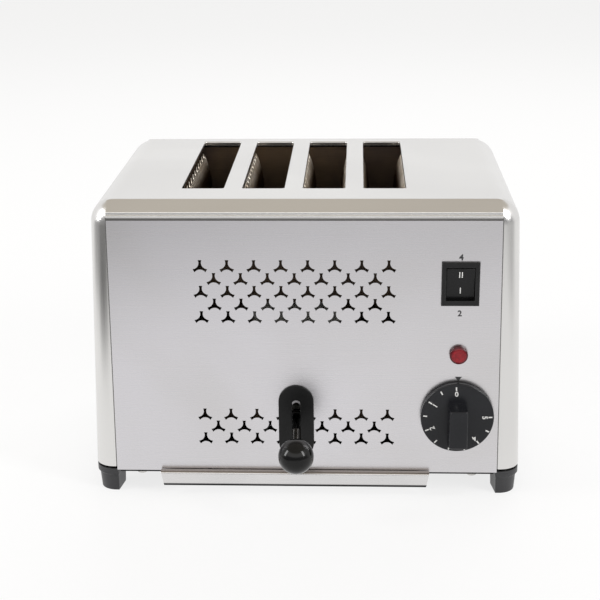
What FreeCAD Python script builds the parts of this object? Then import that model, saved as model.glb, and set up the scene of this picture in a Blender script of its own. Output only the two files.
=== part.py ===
"""Four-slot commercial toaster, drawn piece by piece in millimetres.

X runs left to right, Z up, and Y from the front to the back. Every piece is drawn with Y = 0 on the
face of the front panel. On export all pieces move back together, so that the origin lies on the
ground in the middle of the whole object's box.
"""
import FreeCAD, Part
import math
import os

V = FreeCAD.Vector
UP = V(0, 0, 1)
BACK = V(0, 1, 0)
RIGHT = V(1, 0, 0)

# Case: one steel wrap makes the top and both sides, and flat panels close the front and the back
CASE_DEPTH = 212.0
CASE_TOP = 217.3
WRAP_BOTTOM = 20.0
HALF_WIDTH_TOP = 146.5
HALF_WIDTH_BOTTOM = 153.3
SHEET = 1.0
SHOULDER_RADIUS = 17.0
NOSE_RADIUS = 14.5
BEVEL = 7.5
FOLD_RADIUS = 4.0
HEM_FOLD = 1.4
HEM_LINE_DROP = 0.5
HEM_LINE_WIDTH = 0.8
HEM_LINE_DEPTH = 0.5

# Flat panels, seated on a lip that is sunk behind the wrap's edge
SEAM_INSET_TOP = 12.1
SEAM_INSET_BOTTOM = 16.7
PANEL_HALF_TOP = HALF_WIDTH_TOP - SEAM_INSET_TOP
PANEL_HALF_BOTTOM = HALF_WIDTH_BOTTOM - SEAM_INSET_BOTTOM
PANEL_TOP = 204.1
PANEL_THICK = 1.0
PANEL_GROOVE = 0.7
PANEL_TOP_GAP = 1.7
SEAT_WIDTH = 10.0
PANEL_FLANGE = 8.5
FLANGE_INSET = 2.0
PANEL_SCREW_INSET = 17.6
CUTOUT_GAP = 0.1

# Base plate, which shows as a dark line under the panels
PAN_TOP = 17.4
PAN_THICK = 1.2
PAN_INSET = 1.7
PAN_EDGE = 0.2
STRIP_LEG = 14.0
STRIP_THICK = 1.4
STRIP_RISE = 14.0
STRIP_END_GAP = 1.0

# Bread slots in the top, and the toasting chamber below them
SLOT_COUNT = 4
SLOT_PITCH = 42.6
SLOT_WIDTH = 29.5
SLOT_LENGTH = 154.0
SLOT_SHIFT = 9.0
SLOT_FRONT = (CASE_DEPTH - SLOT_LENGTH) / 2 + SLOT_SHIFT
SLOT_CORNER = 2.0
SLOT_FLANGE = 3.0
SLOT_ROUND = 0.9
BAY_X = -8.2
CHAMBER_FRONT = 30.0
CHAMBER_BACK = 198.8
CHAMBER_SHEET = 0.8
CHAMBER_SIDE = 10.5
CHAMBER_TOP = 211.5
SHIELD_TOP = 206.0
SHEET_FLANGE = 11.0
WINDOW_GAP = 1.0

# Perforation: staggered rows of three-armed holes
HOLE_X = -6.6
HOLE_PITCH = 18.5
HOLE_ROW = 9.25
HOLE_COLUMNS = 8
UPPER_ROW_Z = 171.1
UPPER_ROWS = 5
LOWER_ROW_Z = 60.8
LOWER_ROWS = 3
HOLE_ARM = 5.1
HOLE_WAIST = 1.7
HOLE_LOBE = 4.5

# Controls, all on one column
CONTROL_INSET = 27.3
CONTROL_X = min(PANEL_HALF_TOP, PANEL_HALF_BOTTOM) - CONTROL_INSET
SWITCH_Z = 159.6
BEZEL_WIDTH = 26.0
BEZEL_HEIGHT = 31.3
BEZEL_PROUD = 2.0
BEZEL_CHAMFER = 0.6
SWITCH_WIDTH = 22.0
SWITCH_HEIGHT = 28.2
SWITCH_DEPTH = 24.0
ROCKER_WIDTH = 18.8
ROCKER_RADIUS = 12.8
ROCKER_GAP = 0.3
ROCKER_SIDE_GAP = 0.5
ROCKER_PIVOT_DEPTH = 3.5
ROCKER_CREST = 3.2
ROCKER_LIP = 4.1
ROCKER_SWING = 10.5
ROCKER_PIN = 1.5
BLADE_THICK = 0.8
BLADE_WIDTH = 6.3
BLADE_LENGTH = 8.0
BLADE_SPREAD = 11.0
BLADE_PITCH = 8.5
LAMP_Z = 108.0
LAMP_RADIUS = 6.35
LAMP_PROUD = 4.2
LAMP_ROUND = 1.4
LAMP_BODY_RADIUS = 4.6
LAMP_BODY_DEPTH = 24.0
LAMP_CLIP_THICK = 3.0
LAMP_CLIP_RIM = 2.5
KNOB_Z = 62.0
KNOB_RADIUS = 25.7
KNOB_BACK = 1.0
KNOB_DISC = 4.5
KNOB_CHAMFER = 1.2
KNOB_RECESS = 1.3
KNOB_RIM = 2.0
KNOB_BAR_WIDTH = 13.2
KNOB_BAR_TIP = 12.6
KNOB_BAR_HEIGHT = 14.5
KNOB_BAR_ABOVE = 12.8
KNOB_BAR_SCOOP = 1.9
KNOB_BAR_BELOW = 22.3
KNOB_BAR_TOE = 5.0
KNOB_BAR_ROUND = 1.2
TIMER_SIZE = 36.0
TIMER_DEPTH = 32.0
TIMER_PLATE = 2.0
TIMER_SHAFT_RADIUS = 3.0
SHAFT_CLEARANCE = 1.0
SHAFT_IN_TIMER = 16.0
SHAFT_IN_BAR = 7.0
SHAFT_END_GAP = 0.3
TIMER_SCREW_SPREAD = 28.0
LOW_HEAD_GAP = 0.8

# Lever: its slot, cover plate, rod and ball
LEVER_X = -6.4
PLATE_WIDTH = 25.0
PLATE_TOP = 84.2
PLATE_BOTTOM = 27.8
PLATE_THICK = 1.4
PLATE_CHAMFER = 0.5
LEVER_SLOT_WIDTH = 6.0
LEVER_SLOT_TOP = 73.1
LEVER_SLOT_BOTTOM = 37.0
PANEL_SLOT_TOP = 70.9
ROD_RADIUS = 2.5
ROD_Z_AT_PANEL = 58.6
BALL_RADIUS = 12.1
BALL_REACH = 50.0
BALL_Z = 52.8
BALL_LEAN = 1.9
ROD_IN_BALL = 9.0
TRAVEL = 17.0

# Carriage that lifts the bread, on two guide rods with springs
CARRIAGE_Y = 24.0
CARRIAGE_THICK = 1.5
CARRIAGE_BAR_BOTTOM = 104.0
CARRIAGE_BAR_TOP = 118.0
CARRIAGE_HALF = 72.0
DROP_HALF = 17.0
DROP_BOTTOM = 48.0
ARM_HALF = 8.0
ARM_TOP = 62.2
ARM_FRONT = 2.4
ROD_NUT = 2.6
ROD_NUT_ACROSS = 8.0
REAR_PLATE_Y = 203.0
REST_THICK = 2.0
REST_BOTTOM = 106.0
REST_TOP = 116.0
REST_RIBS = 9
REST_RIB_HALF = 8.6
REST_RIB_DEPTH = 2.0
REST_RIB_MARGIN = 8.0
REST_SLOT_SIDE = 1.0
REST_SLOT_END = 1.5
GUIDE_SPREAD = 44.0
GUIDE_Y = 17.0
GUIDE_RADIUS = 3.0
RUNNING_FIT = 0.05
BUSH_WIDTH = 13.0
BUSH_BOTTOM = 100.0
GUIDE_SEAT = 3.0
BRACKET_HALF = 31.0
BRACKET_GAP = 0.5
BRACKET_HEIGHT = 4.6
TOP_BRACKET_Z = 124.0
TOP_BRACKET_THICK = 1.6
STOP_GAP = 0.3
SPRING_RADIUS = 4.2
SPRING_WIRE = 0.5
SPRING_TURNS = 12
MAGNET_HALF = 12.0
MAGNET_FRONT = 12.0
MAGNET_BACK = 22.5
MAGNET_YOKE = 2.0
MAGNET_POLE = 2.5
COIL_RADIUS = 2.9
COIL_SINK = 0.5
ARMATURE_THICK = 3.0
MAGNET_GAP = 0.4

# Heating elements and the wire guards beside them
MICA_THICK = 1.0
MICA_BOTTOM = 84.0
MICA_TOP = 205.0
RIBBON_WIDTH = 2.5
RIBBON_THICK = 0.4
RIBBON_RUNS = 11
RIBBON_MARGIN = 8.0
GUARD_WIRE = 0.7
GUARD_PITCH = 6.0
GUARD_LOOPS = 13
GUARD_INNER = 10.6
GUARD_OUTER = 15.25
GUARD_BOTTOM = 88.0
GUARD_FLARE_START = 178.0
GUARD_TOP = 208.5

# Crumb tray under the base plate, with its folded front lip
TRAY_X = -8.0
TRAY_HALF = 90.5
TRAY_BOTTOM = 7.5
TRAY_WALL_TOP = 15.6
TRAY_SHEET = 0.8
TRAY_DAM = 2.0
TRAY_BACK = 194.0
LIP_TOP_HALF = 96.4
LIP_BOTTOM_HALF = 93.9
LIP_REACH = 5.8
LIP_TOP = 18.8
LIP_GAP = 0.8
LIP_BEND = 1.9
RUNNER_SHEET = 1.0
RUNNER_LEDGE = 9.0
RUNNER_GAP = 0.3
RUNNER_FRONT = 6.0
RUNNER_BACK = 196.0
CRUMB_MARGIN = 7.0

# Feet under the four corners
FOOT_RIM_TOP = 18.0
FOOT_RIM_BOTTOM = 13.5
FOOT_STEP_BOTTOM = 12.0
FOOT_RIM_INSET = 0.2
FOOT_BODY_INSET = 1.6
FOOT_TOE_INSET = 2.5
FOOT_SIDE_DEPTH = 20.5
FOOT_FRONT_END = 3.0
FOOT_INNER_DRAFT = 0.25
FOOT_SLANT = 8.0
FOOT_SEAT_GAP = 0.2
FOOT_BOLT_INSET = 10.5
FOOT_BOLT_Y = 11.2
FOOT_BORE_TOP = 9.5

# Fasteners
SCREW_RADIUS = 2.0
SCREW_HOLE = 2.2
THREAD_FIT = 0.05
HEAD_RADIUS = 3.8
HEAD_HEIGHT = 2.4
SCREW_LENGTH = 6.5
SCREW_TIP = 1.0
TAP_EXTRA = 2.0
DRIVE_HALF = 0.5
DRIVE_REACH = 2.3
DRIVE_DEPTH = 0.9
NUT_ACROSS = 7.0
NUT_HEIGHT = 3.2
BORE_RADIUS = 4.6

# Back panel: vents and the cord gland
VENT_ROWS = 9
VENT_PITCH = 9.0
VENT_LENGTH = 62.0
VENT_HEIGHT = 3.2
VENT_SPREAD = 84.0
VENT_Z = 130.0
BACK_SCREW_SIDE_Z = (70.0, 140.0)
BACK_SCREW_TOP_X = 100.0
GLAND_Z = 46.0
GLAND_BORE = 4.0
GLAND_THREAD = 7.9
GLAND_HOLE = 8.1
GLAND_HEAD = 11.0
GLAND_PROUD = 9.0
GLAND_COLLAR = 5.0
GLAND_DOME = 8.8
GLAND_ROUND = 2.0
GLAND_NUT = 5.0
GLAND_THREAD_END = 2.0

# Terminal block and leads in the control bay
BLOCK_X = 117.0
BLOCK_WIDTH = 34.0
BLOCK_DEPTH = 20.0
BLOCK_HEIGHT = 16.0
BLOCK_Y = 150.0
BLOCK_POLES = 3
BLOCK_WELL = 2.4
BLOCK_WELL_INSET = 6.0
LEAD_RADIUS = 1.3
LEAD_IN_BLOCK = 8.0
LEAD_RUN_OUT = 30.0

# Worked out from the sizes above
PAN_BOTTOM = PAN_TOP - PAN_THICK
SLOPE = (HALF_WIDTH_BOTTOM - HALF_WIDTH_TOP) / (CASE_TOP - WRAP_BOTTOM)
SLOT_XS = [BAY_X + SLOT_PITCH * (i - (SLOT_COUNT - 1) / 2) for i in range(SLOT_COUNT)]
BOARD_XS = [SLOT_XS[0] + SLOT_PITCH * (i - 0.5) for i in range(SLOT_COUNT + 1)]
SHIELD_LEFT = BOARD_XS[0] - CHAMBER_SIDE
SHIELD_RIGHT = BOARD_XS[-1] + CHAMBER_SIDE
BACK_REACH = CASE_DEPTH + GLAND_PROUD
FRONT_REACH = BALL_REACH + BALL_RADIUS
FRONT_Y = -(BACK_REACH - FRONT_REACH) / 2
ROD_SLOPE = (ROD_Z_AT_PANEL - BALL_Z) / BALL_REACH
BRACKET_FRONT = PANEL_FLANGE + BRACKET_GAP
BRACKET_TOP = PAN_TOP + BRACKET_HEIGHT
GUARD_BEND = GUARD_PITCH / 2
GUIDE_XS = (LEVER_X - GUIDE_SPREAD / 2, LEVER_X + GUIDE_SPREAD / 2)


def box(x0, x1, y0, y1, z0, z1):
    return Part.makeBox(x1 - x0, y1 - y0, z1 - z0, V(x0, y0, z0))


def rod(start, end, radius):
    return Part.makeCylinder(radius, (end - start).Length, start, end - start)


def prism_xz(points, y0, y1):
    wire = Part.makePolygon([V(x, y0, z) for x, z in points + points[:1]])
    return Part.Face(wire).extrude(V(0, y1 - y0, 0))


def prism_yz(points, x0, x1):
    wire = Part.makePolygon([V(x0, y, z) for y, z in points + points[:1]])
    return Part.Face(wire).extrude(V(x1 - x0, 0, 0))


def join(shapes):
    return shapes[0].multiFuse(shapes[1:]).removeSplitter()


def mirror_x(shape):
    return shape.mirror(V(0, 0, 0), RIGHT)


def mirror_depth(shape):
    return shape.mirror(V(0, CASE_DEPTH / 2, 0), BACK)


def rounded_outline(x0, x1, y0, y1, radius, z):
    """A rectangle with round corners, flat at height z."""
    corners = [(x1 - radius, y1 - radius, 0), (x0 + radius, y1 - radius, 90),
               (x0 + radius, y0 + radius, 180), (x1 - radius, y0 + radius, 270)]
    arcs = [arc_xy(cx, cy, radius, start, start + 90, z) for cx, cy, start in corners]
    edges = []
    for i, arc in enumerate(arcs):
        following = arcs[(i + 1) % len(arcs)]
        edges += [arc, Part.LineSegment(arc.EndPoint, following.StartPoint)]
    return Part.Wire([edge.toShape() for edge in edges])


def arc_xy(cx, cy, radius, start, end, z):
    def at(degrees):
        angle = math.radians(degrees)
        return V(cx + radius * math.cos(angle), cy + radius * math.sin(angle), z)
    return Part.Arc(at(start), at((start + end) / 2), at(end))


def wall_x(z, inset=0.0):
    """Half width of the wrap at height z, measured to a face that lies inset below its skin."""
    lean = math.hypot(1, SLOPE)
    return HALF_WIDTH_BOTTOM - SLOPE * (z - WRAP_BOTTOM) - inset * lean


def case_form(inset, bottom):
    """The closed outer form of the case, shrunk by inset on every side but the bottom."""
    top = CASE_TOP - inset
    front, back = inset, CASE_DEPTH - inset
    outline = [(-wall_x(bottom, inset), bottom), (wall_x(bottom, inset), bottom),
               (wall_x(top, inset), top), (-wall_x(top, inset), top)]
    block = prism_xz(outline, front, back)
    shoulders = [e for e in block.Edges
                 if abs(e.CenterOfMass.z - top) < 0.01 and abs(e.CenterOfMass.x) > HALF_WIDTH_TOP / 2]
    block = block.makeFillet(SHOULDER_RADIUS - inset, shoulders)
    rims = [e for e in block.Edges
            if min(abs(e.BoundBox.YMin - front) + abs(e.BoundBox.YMax - front),
                   abs(e.BoundBox.YMin - back) + abs(e.BoundBox.YMax - back)) < 0.01
            and e.BoundBox.ZMax > bottom + 1]
    nosed = block.makeFillet(NOSE_RADIUS - inset, rims)
    half = PANEL_HALF_TOP
    band = box(-half, half, front - 1, back + 1, bottom - 1, top + 1)
    leg = BEVEL - inset * (2 - math.sqrt(2))
    bevelled = prism_yz([(front, bottom), (back, bottom), (back, top - leg), (back - leg, top),
                         (front + leg, top), (front, top - leg)], -half, half)
    bevelled = bevelled.makeFillet(FOLD_RADIUS - inset, folds_at(bevelled, top))
    bevelled = bevelled.makeFillet(HEM_FOLD - inset, folds_at(bevelled, top - leg))
    return join([nosed.cut(band), block.common(bevelled)])


def folds_at(shape, z):
    """The long edges from side to side at height z."""
    return [e for e in shape.Edges if e.BoundBox.XLength > HALF_WIDTH_TOP
            and abs(e.BoundBox.ZMin - z) < 0.01 and abs(e.BoundBox.ZMax - z) < 0.01]


def opening(grow, y0, y1):
    """The panel's place in the wrap, open at the bottom and grown by grow on the other sides."""
    rise = (PANEL_HALF_BOTTOM - PANEL_HALF_TOP) / (PANEL_TOP - PAN_TOP)
    low = WRAP_BOTTOM - 2 * SHEET
    high = PANEL_TOP + PANEL_TOP_GAP - PANEL_GROOVE + grow
    low_half = PANEL_HALF_BOTTOM - rise * (low - PAN_TOP) + grow
    high_half = PANEL_HALF_BOTTOM - rise * (high - PAN_TOP) + grow
    return prism_xz([(-low_half, low), (low_half, low), (high_half, high), (-high_half, high)], y0, y1)


def seat_lip():
    """The sunk lip at the front that a flat panel lies against."""
    ring = opening(PANEL_GROOVE + SHEET, PANEL_THICK, PANEL_THICK + SHEET)
    ring = ring.cut(opening(PANEL_GROOVE - SEAT_WIDTH, 0, 3 * SHEET))
    return ring.common(box(-HALF_WIDTH_BOTTOM, HALF_WIDTH_BOTTOM, 0, CASE_DEPTH, WRAP_BOTTOM, CASE_TOP))


def slot_outline(x, grow, z):
    return rounded_outline(x - SLOT_WIDTH / 2 - grow, x + SLOT_WIDTH / 2 + grow, SLOT_FRONT - grow,
                           SLOT_FRONT + SLOT_LENGTH + grow, SLOT_CORNER + grow, z)


def bottom_strip():
    """The angle spot-welded inside the right wall, for the screws of the base plate."""
    top = PAN_TOP + STRIP_RISE
    outer_low, outer_high = wall_x(PAN_TOP, SHEET), wall_x(top, SHEET)
    inner = outer_low - STRIP_THICK
    points = [(outer_high, top), (outer_low, PAN_TOP), (outer_low - STRIP_LEG, PAN_TOP),
              (outer_low - STRIP_LEG, PAN_TOP + STRIP_THICK), (inner, PAN_TOP + STRIP_THICK),
              (outer_high - STRIP_THICK, top)]
    end = FOOT_SIDE_DEPTH + STRIP_END_GAP
    return prism_xz(points, end, CASE_DEPTH - end)


def strip_screw_points():
    x = wall_x(PAN_TOP, SHEET) - STRIP_LEG / 2 - STRIP_THICK
    depths = [CASE_DEPTH * share for share in (0.25, 0.5, 0.75)]
    return [(side * x, y) for side in (-1, 1) for y in depths]


def panel_screw_points():
    """Where screws come up through the base plate into the flanges of the two panels."""
    x = PANEL_HALF_BOTTOM - PANEL_SCREW_INSET
    front = [(side * x, PANEL_FLANGE / 2 + PANEL_THICK) for side in (-1, 1)]
    back = [(side * x, CASE_DEPTH - PANEL_FLANGE / 2 - PANEL_THICK) for side in (-1, 0, 1)]
    return front + back


def back_screw_points():
    top_z = PANEL_TOP - SEAT_WIDTH / 2
    rise = (PANEL_HALF_BOTTOM - PANEL_HALF_TOP) / (PANEL_TOP - PAN_TOP)
    points = [(x, top_z) for x in (-BACK_SCREW_TOP_X, 0, BACK_SCREW_TOP_X)]
    for z in BACK_SCREW_SIDE_Z:
        x = PANEL_HALF_BOTTOM - rise * (z - PAN_TOP) - SEAT_WIDTH / 2
        points += [(-x, z), (x, z)]
    return points


def body_shell():
    shell = case_form(0, WRAP_BOTTOM).cut(case_form(SHEET, WRAP_BOTTOM - 5 * SHEET))
    hole = opening(PANEL_GROOVE, -SHEET, 2 * SHEET)
    shell = shell.cut(hole.fuse(mirror_depth(hole)))
    lip = seat_lip()
    strip = bottom_strip()
    back_lip = mirror_depth(lip)
    for x, z in back_screw_points():
        end = CASE_DEPTH - SCREW_LENGTH - TAP_EXTRA
        back_lip = back_lip.cut(rod(V(x, CASE_DEPTH, z), V(x, end, z), SCREW_RADIUS + THREAD_FIT))
    for x, y in strip_screw_points():
        if x > 0:
            strip = strip.cut(rod(V(x, y, 0), V(x, y, WRAP_BOTTOM), SCREW_RADIUS + THREAD_FIT))
    for x in SLOT_XS:
        mouth = Part.Face(slot_outline(x, 0, CASE_TOP - SLOT_FLANGE)).extrude(UP * 2 * SLOT_FLANGE)
        collar = Part.Face(slot_outline(x, SHEET, CASE_TOP - SLOT_FLANGE)).extrude(
            UP * (SLOT_FLANGE - SHEET / 2))
        shell = shell.fuse(collar).cut(mouth)
    rims = [e for e in shell.Edges if e.BoundBox.ZMin > CASE_TOP - 0.01
            and e.BoundBox.YMin > SLOT_FRONT - 0.1 and e.BoundBox.YMax < SLOT_FRONT + SLOT_LENGTH + 0.1]
    shell = shell.makeFillet(SLOT_ROUND, rims)
    line_top = CASE_TOP - BEVEL - HEM_LINE_DROP
    line = box(-PANEL_HALF_TOP, PANEL_HALF_TOP, -SHEET, HEM_LINE_DEPTH, line_top - HEM_LINE_WIDTH, line_top)
    shell = shell.cut(line.fuse(mirror_depth(line)))
    return join([shell, lip, back_lip, strip, mirror_x(strip)])


def star_hole(cx, cz):
    """One perforation: three flared arms at 120 degrees, with a round lobe between each two."""
    along = (HOLE_WAIST + HOLE_LOBE) / 2
    across = (HOLE_WAIST + HOLE_LOBE) * math.sin(math.radians(60))
    tip_half = across - math.sqrt(HOLE_LOBE ** 2 - (HOLE_ARM - along) ** 2)

    def at(distance, degrees, sideways=0.0):
        angle = math.radians(degrees)
        return V(cx + distance * math.cos(angle) - sideways * math.sin(angle), 0,
                 cz + distance * math.sin(angle) + sideways * math.cos(angle))

    edges = []
    for arm in (90, 210, 330):
        start, end = at(HOLE_ARM, arm, -tip_half), at(HOLE_ARM, arm, tip_half)
        edges.append(Part.LineSegment(start, end).toShape())
        waist = at(HOLE_WAIST, arm + 60)
        edges.append(Part.Arc(end, waist, at(HOLE_ARM, arm + 120, -tip_half)).toShape())
    return Part.Wire(edges)


def perforation():
    holes = []
    for top, rows, keep_middle in ((UPPER_ROW_Z, UPPER_ROWS, True), (LOWER_ROW_Z, LOWER_ROWS, False)):
        for row in range(rows):
            count = HOLE_COLUMNS - row % 2
            for column in range(count):
                offset = column - (count - 1) / 2
                if keep_middle or offset != 0:
                    holes.append(star_hole(HOLE_X + offset * HOLE_PITCH, top - row * HOLE_ROW))
    return holes


def obround_xz(x, half, z0, z1, y=0.0):
    """A slot with round ends, standing upright at depth y."""
    low, high = z0 + half, z1 - half
    edges = [Part.LineSegment(V(x + half, y, low), V(x + half, y, high)),
             Part.Arc(V(x + half, y, high), V(x, y, z1), V(x - half, y, high)),
             Part.LineSegment(V(x - half, y, high), V(x - half, y, low)),
             Part.Arc(V(x - half, y, low), V(x, y, z0), V(x + half, y, low))]
    return Part.Wire([e.toShape() for e in edges])


def circle_xz(x, z, radius):
    return Part.Wire(Part.Circle(V(x, 0, z), BACK, radius).toShape())


def rect_xz(x, z, width, height):
    w, h = width / 2, height / 2
    return Part.makePolygon([V(x - w, 0, z - h), V(x + w, 0, z - h), V(x + w, 0, z + h),
                             V(x - w, 0, z + h), V(x - w, 0, z - h)])


def flat_panel(holes):
    """A panel sheet with the given holes and a flange along the bottom, lying at the front."""
    outline = [(-PANEL_HALF_BOTTOM, PAN_TOP), (PANEL_HALF_BOTTOM, PAN_TOP),
               (PANEL_HALF_TOP, PANEL_TOP), (-PANEL_HALF_TOP, PANEL_TOP)]
    outer = Part.makePolygon([V(x, 0, z) for x, z in outline + outline[:1]])
    sheet = Part.Face(outer)
    if holes:
        sheet = sheet.cut(Part.makeCompound([Part.Face(hole) for hole in holes]))
    sheet = sheet.extrude(V(0, PANEL_THICK, 0))
    half = PANEL_HALF_BOTTOM - FLANGE_INSET
    flange = box(-half, half, 0, PANEL_FLANGE, PAN_TOP, PAN_TOP + PANEL_THICK)
    return sheet.fuse(flange).removeSplitter()


def front_panel():
    holes = perforation()
    holes.append(obround_xz(LEVER_X, LEVER_SLOT_WIDTH / 2, LEVER_SLOT_BOTTOM, PANEL_SLOT_TOP))
    holes.append(rect_xz(CONTROL_X, SWITCH_Z, SWITCH_WIDTH + 2 * CUTOUT_GAP,
                         SWITCH_HEIGHT + 2 * CUTOUT_GAP))
    holes.append(circle_xz(CONTROL_X, LAMP_Z, LAMP_BODY_RADIUS + CUTOUT_GAP))
    holes.append(circle_xz(CONTROL_X, KNOB_Z, TIMER_SHAFT_RADIUS + SHAFT_CLEARANCE))
    for side in (-1, 1):
        holes.append(circle_xz(CONTROL_X + side * TIMER_SCREW_SPREAD / 2, KNOB_Z, SCREW_HOLE))
    panel = flat_panel(holes)
    for x, y in panel_screw_points():
        if y < CASE_DEPTH / 2:
            panel = panel.cut(rod(V(x, y, 0), V(x, y, 2 * PAN_TOP), SCREW_RADIUS + THREAD_FIT))
    return panel


def rear_panel():
    holes = [circle_xz(x, z, SCREW_HOLE) for x, z in back_screw_points()]
    holes.append(circle_xz(CONTROL_X, GLAND_Z, GLAND_HOLE))
    for side in (-1, 1):
        for row in range(VENT_ROWS):
            z = VENT_Z + VENT_PITCH * (row - (VENT_ROWS - 1) / 2)
            holes.append(rect_xz(BAY_X + side * VENT_SPREAD / 2, z, VENT_LENGTH, VENT_HEIGHT))
    panel = mirror_depth(flat_panel(holes))
    for x, y in panel_screw_points():
        if y > CASE_DEPTH / 2:
            panel = panel.cut(rod(V(x, y, 0), V(x, y, 2 * PAN_TOP), SCREW_RADIUS + THREAD_FIT))
    return panel


def pan_form(grow, thick):
    """The base plate's outline, which follows the wrap's corners, inset, and reaches the panels."""
    inset = PAN_INSET - grow
    main = Part.Face(rounded_outline(-HALF_WIDTH_BOTTOM + inset, HALF_WIDTH_BOTTOM - inset, inset,
                                     CASE_DEPTH - inset, NOSE_RADIUS - inset, PAN_BOTTOM))
    half = PANEL_HALF_BOTTOM - FLANGE_INSET
    bridge = Part.Face(rounded_outline(-half, half, PAN_EDGE, CASE_DEPTH - PAN_EDGE, SHEET, PAN_BOTTOM))
    return main.extrude(UP * thick).fuse(bridge.extrude(UP * thick)).removeSplitter()


def crumb_window():
    half = TRAY_HALF - CRUMB_MARGIN
    front = CHAMBER_FRONT + CHAMBER_SHEET + SHEET_FLANGE + WINDOW_GAP
    back = CHAMBER_BACK - CHAMBER_SHEET - SHEET_FLANGE - WINDOW_GAP
    return box(TRAY_X - half, TRAY_X + half, front, back, 0, WRAP_BOTTOM)


def base_pan():
    pan = pan_form(0, PAN_THICK).cut(crumb_window())
    for x, y in strip_screw_points() + panel_screw_points() + foot_bolt_points():
        pan = pan.cut(rod(V(x, y, 0), V(x, y, WRAP_BOTTOM), SCREW_HOLE))
    return pan


def foot_bolt_points():
    x = HALF_WIDTH_BOTTOM - FOOT_BOLT_INSET
    return [(side * x, y) for side in (-1, 1) for y in (FOOT_BOLT_Y, CASE_DEPTH - FOOT_BOLT_Y)]


def foot_outline(inset, z):
    """Plan of the front right foot at height z: it follows the case's corner, inset, and its inner
    side slants away from the corner."""
    radius = NOSE_RADIUS - inset
    cx, cy = HALF_WIDTH_BOTTOM - NOSE_RADIUS, NOSE_RADIUS
    back = FOOT_SIDE_DEPTH - inset
    front_end = cx - FOOT_FRONT_END + inset * FOOT_INNER_DRAFT
    back_end = front_end - (back - inset) * math.tan(math.radians(FOOT_SLANT))
    arc = arc_xy(cx, cy, radius, -90, 0, z)
    points = [arc.EndPoint, V(cx + radius, back, z), V(back_end, back, z), V(front_end, inset, z),
              arc.StartPoint]
    edges = [arc.toShape()] + [Part.LineSegment(a, b).toShape() for a, b in zip(points, points[1:])]
    return Part.Wire(edges)


def foot():
    rim = Part.Face(foot_outline(FOOT_RIM_INSET, FOOT_RIM_BOTTOM)).extrude(
        UP * (FOOT_RIM_TOP - FOOT_RIM_BOTTOM))
    step = Part.makeLoft([foot_outline(FOOT_BODY_INSET, FOOT_STEP_BOTTOM),
                          foot_outline(FOOT_RIM_INSET, FOOT_RIM_BOTTOM)], True, True)
    toe = Part.makeLoft([foot_outline(FOOT_TOE_INSET, 0),
                         foot_outline(FOOT_BODY_INSET, FOOT_STEP_BOTTOM)], True, True)
    seat = pan_form(FOOT_SEAT_GAP, WRAP_BOTTOM - PAN_BOTTOM)
    panel = PANEL_HALF_BOTTOM + FOOT_SEAT_GAP
    beside_panel = box(0, panel, -1, PANEL_FLANGE, PAN_TOP, WRAP_BOTTOM)
    shape = rim.fuse(step).fuse(toe).cut(seat).cut(beside_panel)
    x, y = HALF_WIDTH_BOTTOM - FOOT_BOLT_INSET, FOOT_BOLT_Y
    shape = shape.cut(rod(V(x, y, -1), V(x, y, WRAP_BOTTOM), SCREW_HOLE))
    return shape.cut(rod(V(x, y, -1), V(x, y, FOOT_BORE_TOP), BORE_RADIUS))


def pan_head_screw(seat, direction, length):
    """A screw whose head's underside lies on seat, with its shank running along direction."""
    head = rod(seat - direction * HEAD_HEIGHT, seat, HEAD_RADIUS)
    rim = [e for e in head.Edges if e.Length > HEAD_RADIUS and
           abs((e.CenterOfMass - seat).dot(direction) + HEAD_HEIGHT) < 0.01]
    head = head.makeFillet(HEAD_HEIGHT / 2, rim)
    drive = box(-DRIVE_HALF, DRIVE_HALF, -DRIVE_REACH, DRIVE_REACH, -DRIVE_DEPTH, DRIVE_DEPTH)
    cross = drive.fuse(drive.rotated(V(0, 0, 0), UP, 90))
    cross = cross.rotated(V(0, 0, 0), RIGHT, 90 if abs(direction.y) > 0.5 else 0)
    head = head.cut(cross.translated(seat - direction * HEAD_HEIGHT))
    return head.fuse(rod(seat, seat + direction * length, SCREW_RADIUS)).removeSplitter()


def hex_nut(x, y, z):
    corner = NUT_ACROSS / math.sqrt(3)
    points = [V(x + corner * math.cos(math.radians(60 * i)), y + corner * math.sin(math.radians(60 * i)), z)
              for i in range(7)]
    nut = Part.Face(Part.makePolygon(points)).extrude(UP * NUT_HEIGHT)
    return nut.cut(rod(V(x, y, z - 1), V(x, y, z + 2 * NUT_HEIGHT), SCREW_RADIUS + THREAD_FIT))


def foot_fasteners():
    length = PAN_TOP + NUT_HEIGHT + SCREW_TIP - FOOT_BORE_TOP
    solids = []
    for x, y in foot_bolt_points():
        solids += [pan_head_screw(V(x, y, FOOT_BORE_TOP), UP, length), hex_nut(x, y, PAN_TOP)]
    return Part.makeCompound(solids)


def case_screws():
    """The screws from below and in the back panel, and two with low heads behind the dial."""
    solids = [pan_head_screw(V(x, y, PAN_BOTTOM), UP, SCREW_LENGTH)
              for x, y in strip_screw_points() + panel_screw_points()]
    solids += [pan_head_screw(V(x, CASE_DEPTH, z), -BACK, SCREW_LENGTH) for x, z in back_screw_points()]
    for side in (-1, 1):
        x = CONTROL_X + side * TIMER_SCREW_SPREAD / 2
        head = rod(V(x, LOW_HEAD_GAP - KNOB_BACK - KNOB_RECESS, KNOB_Z), V(x, 0, KNOB_Z), HEAD_RADIUS)
        shank = rod(V(x, 0, KNOB_Z), V(x, SCREW_LENGTH, KNOB_Z), SCREW_RADIUS)
        solids.append(head.fuse(shank).removeSplitter())
    return Part.makeCompound(solids)


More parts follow.
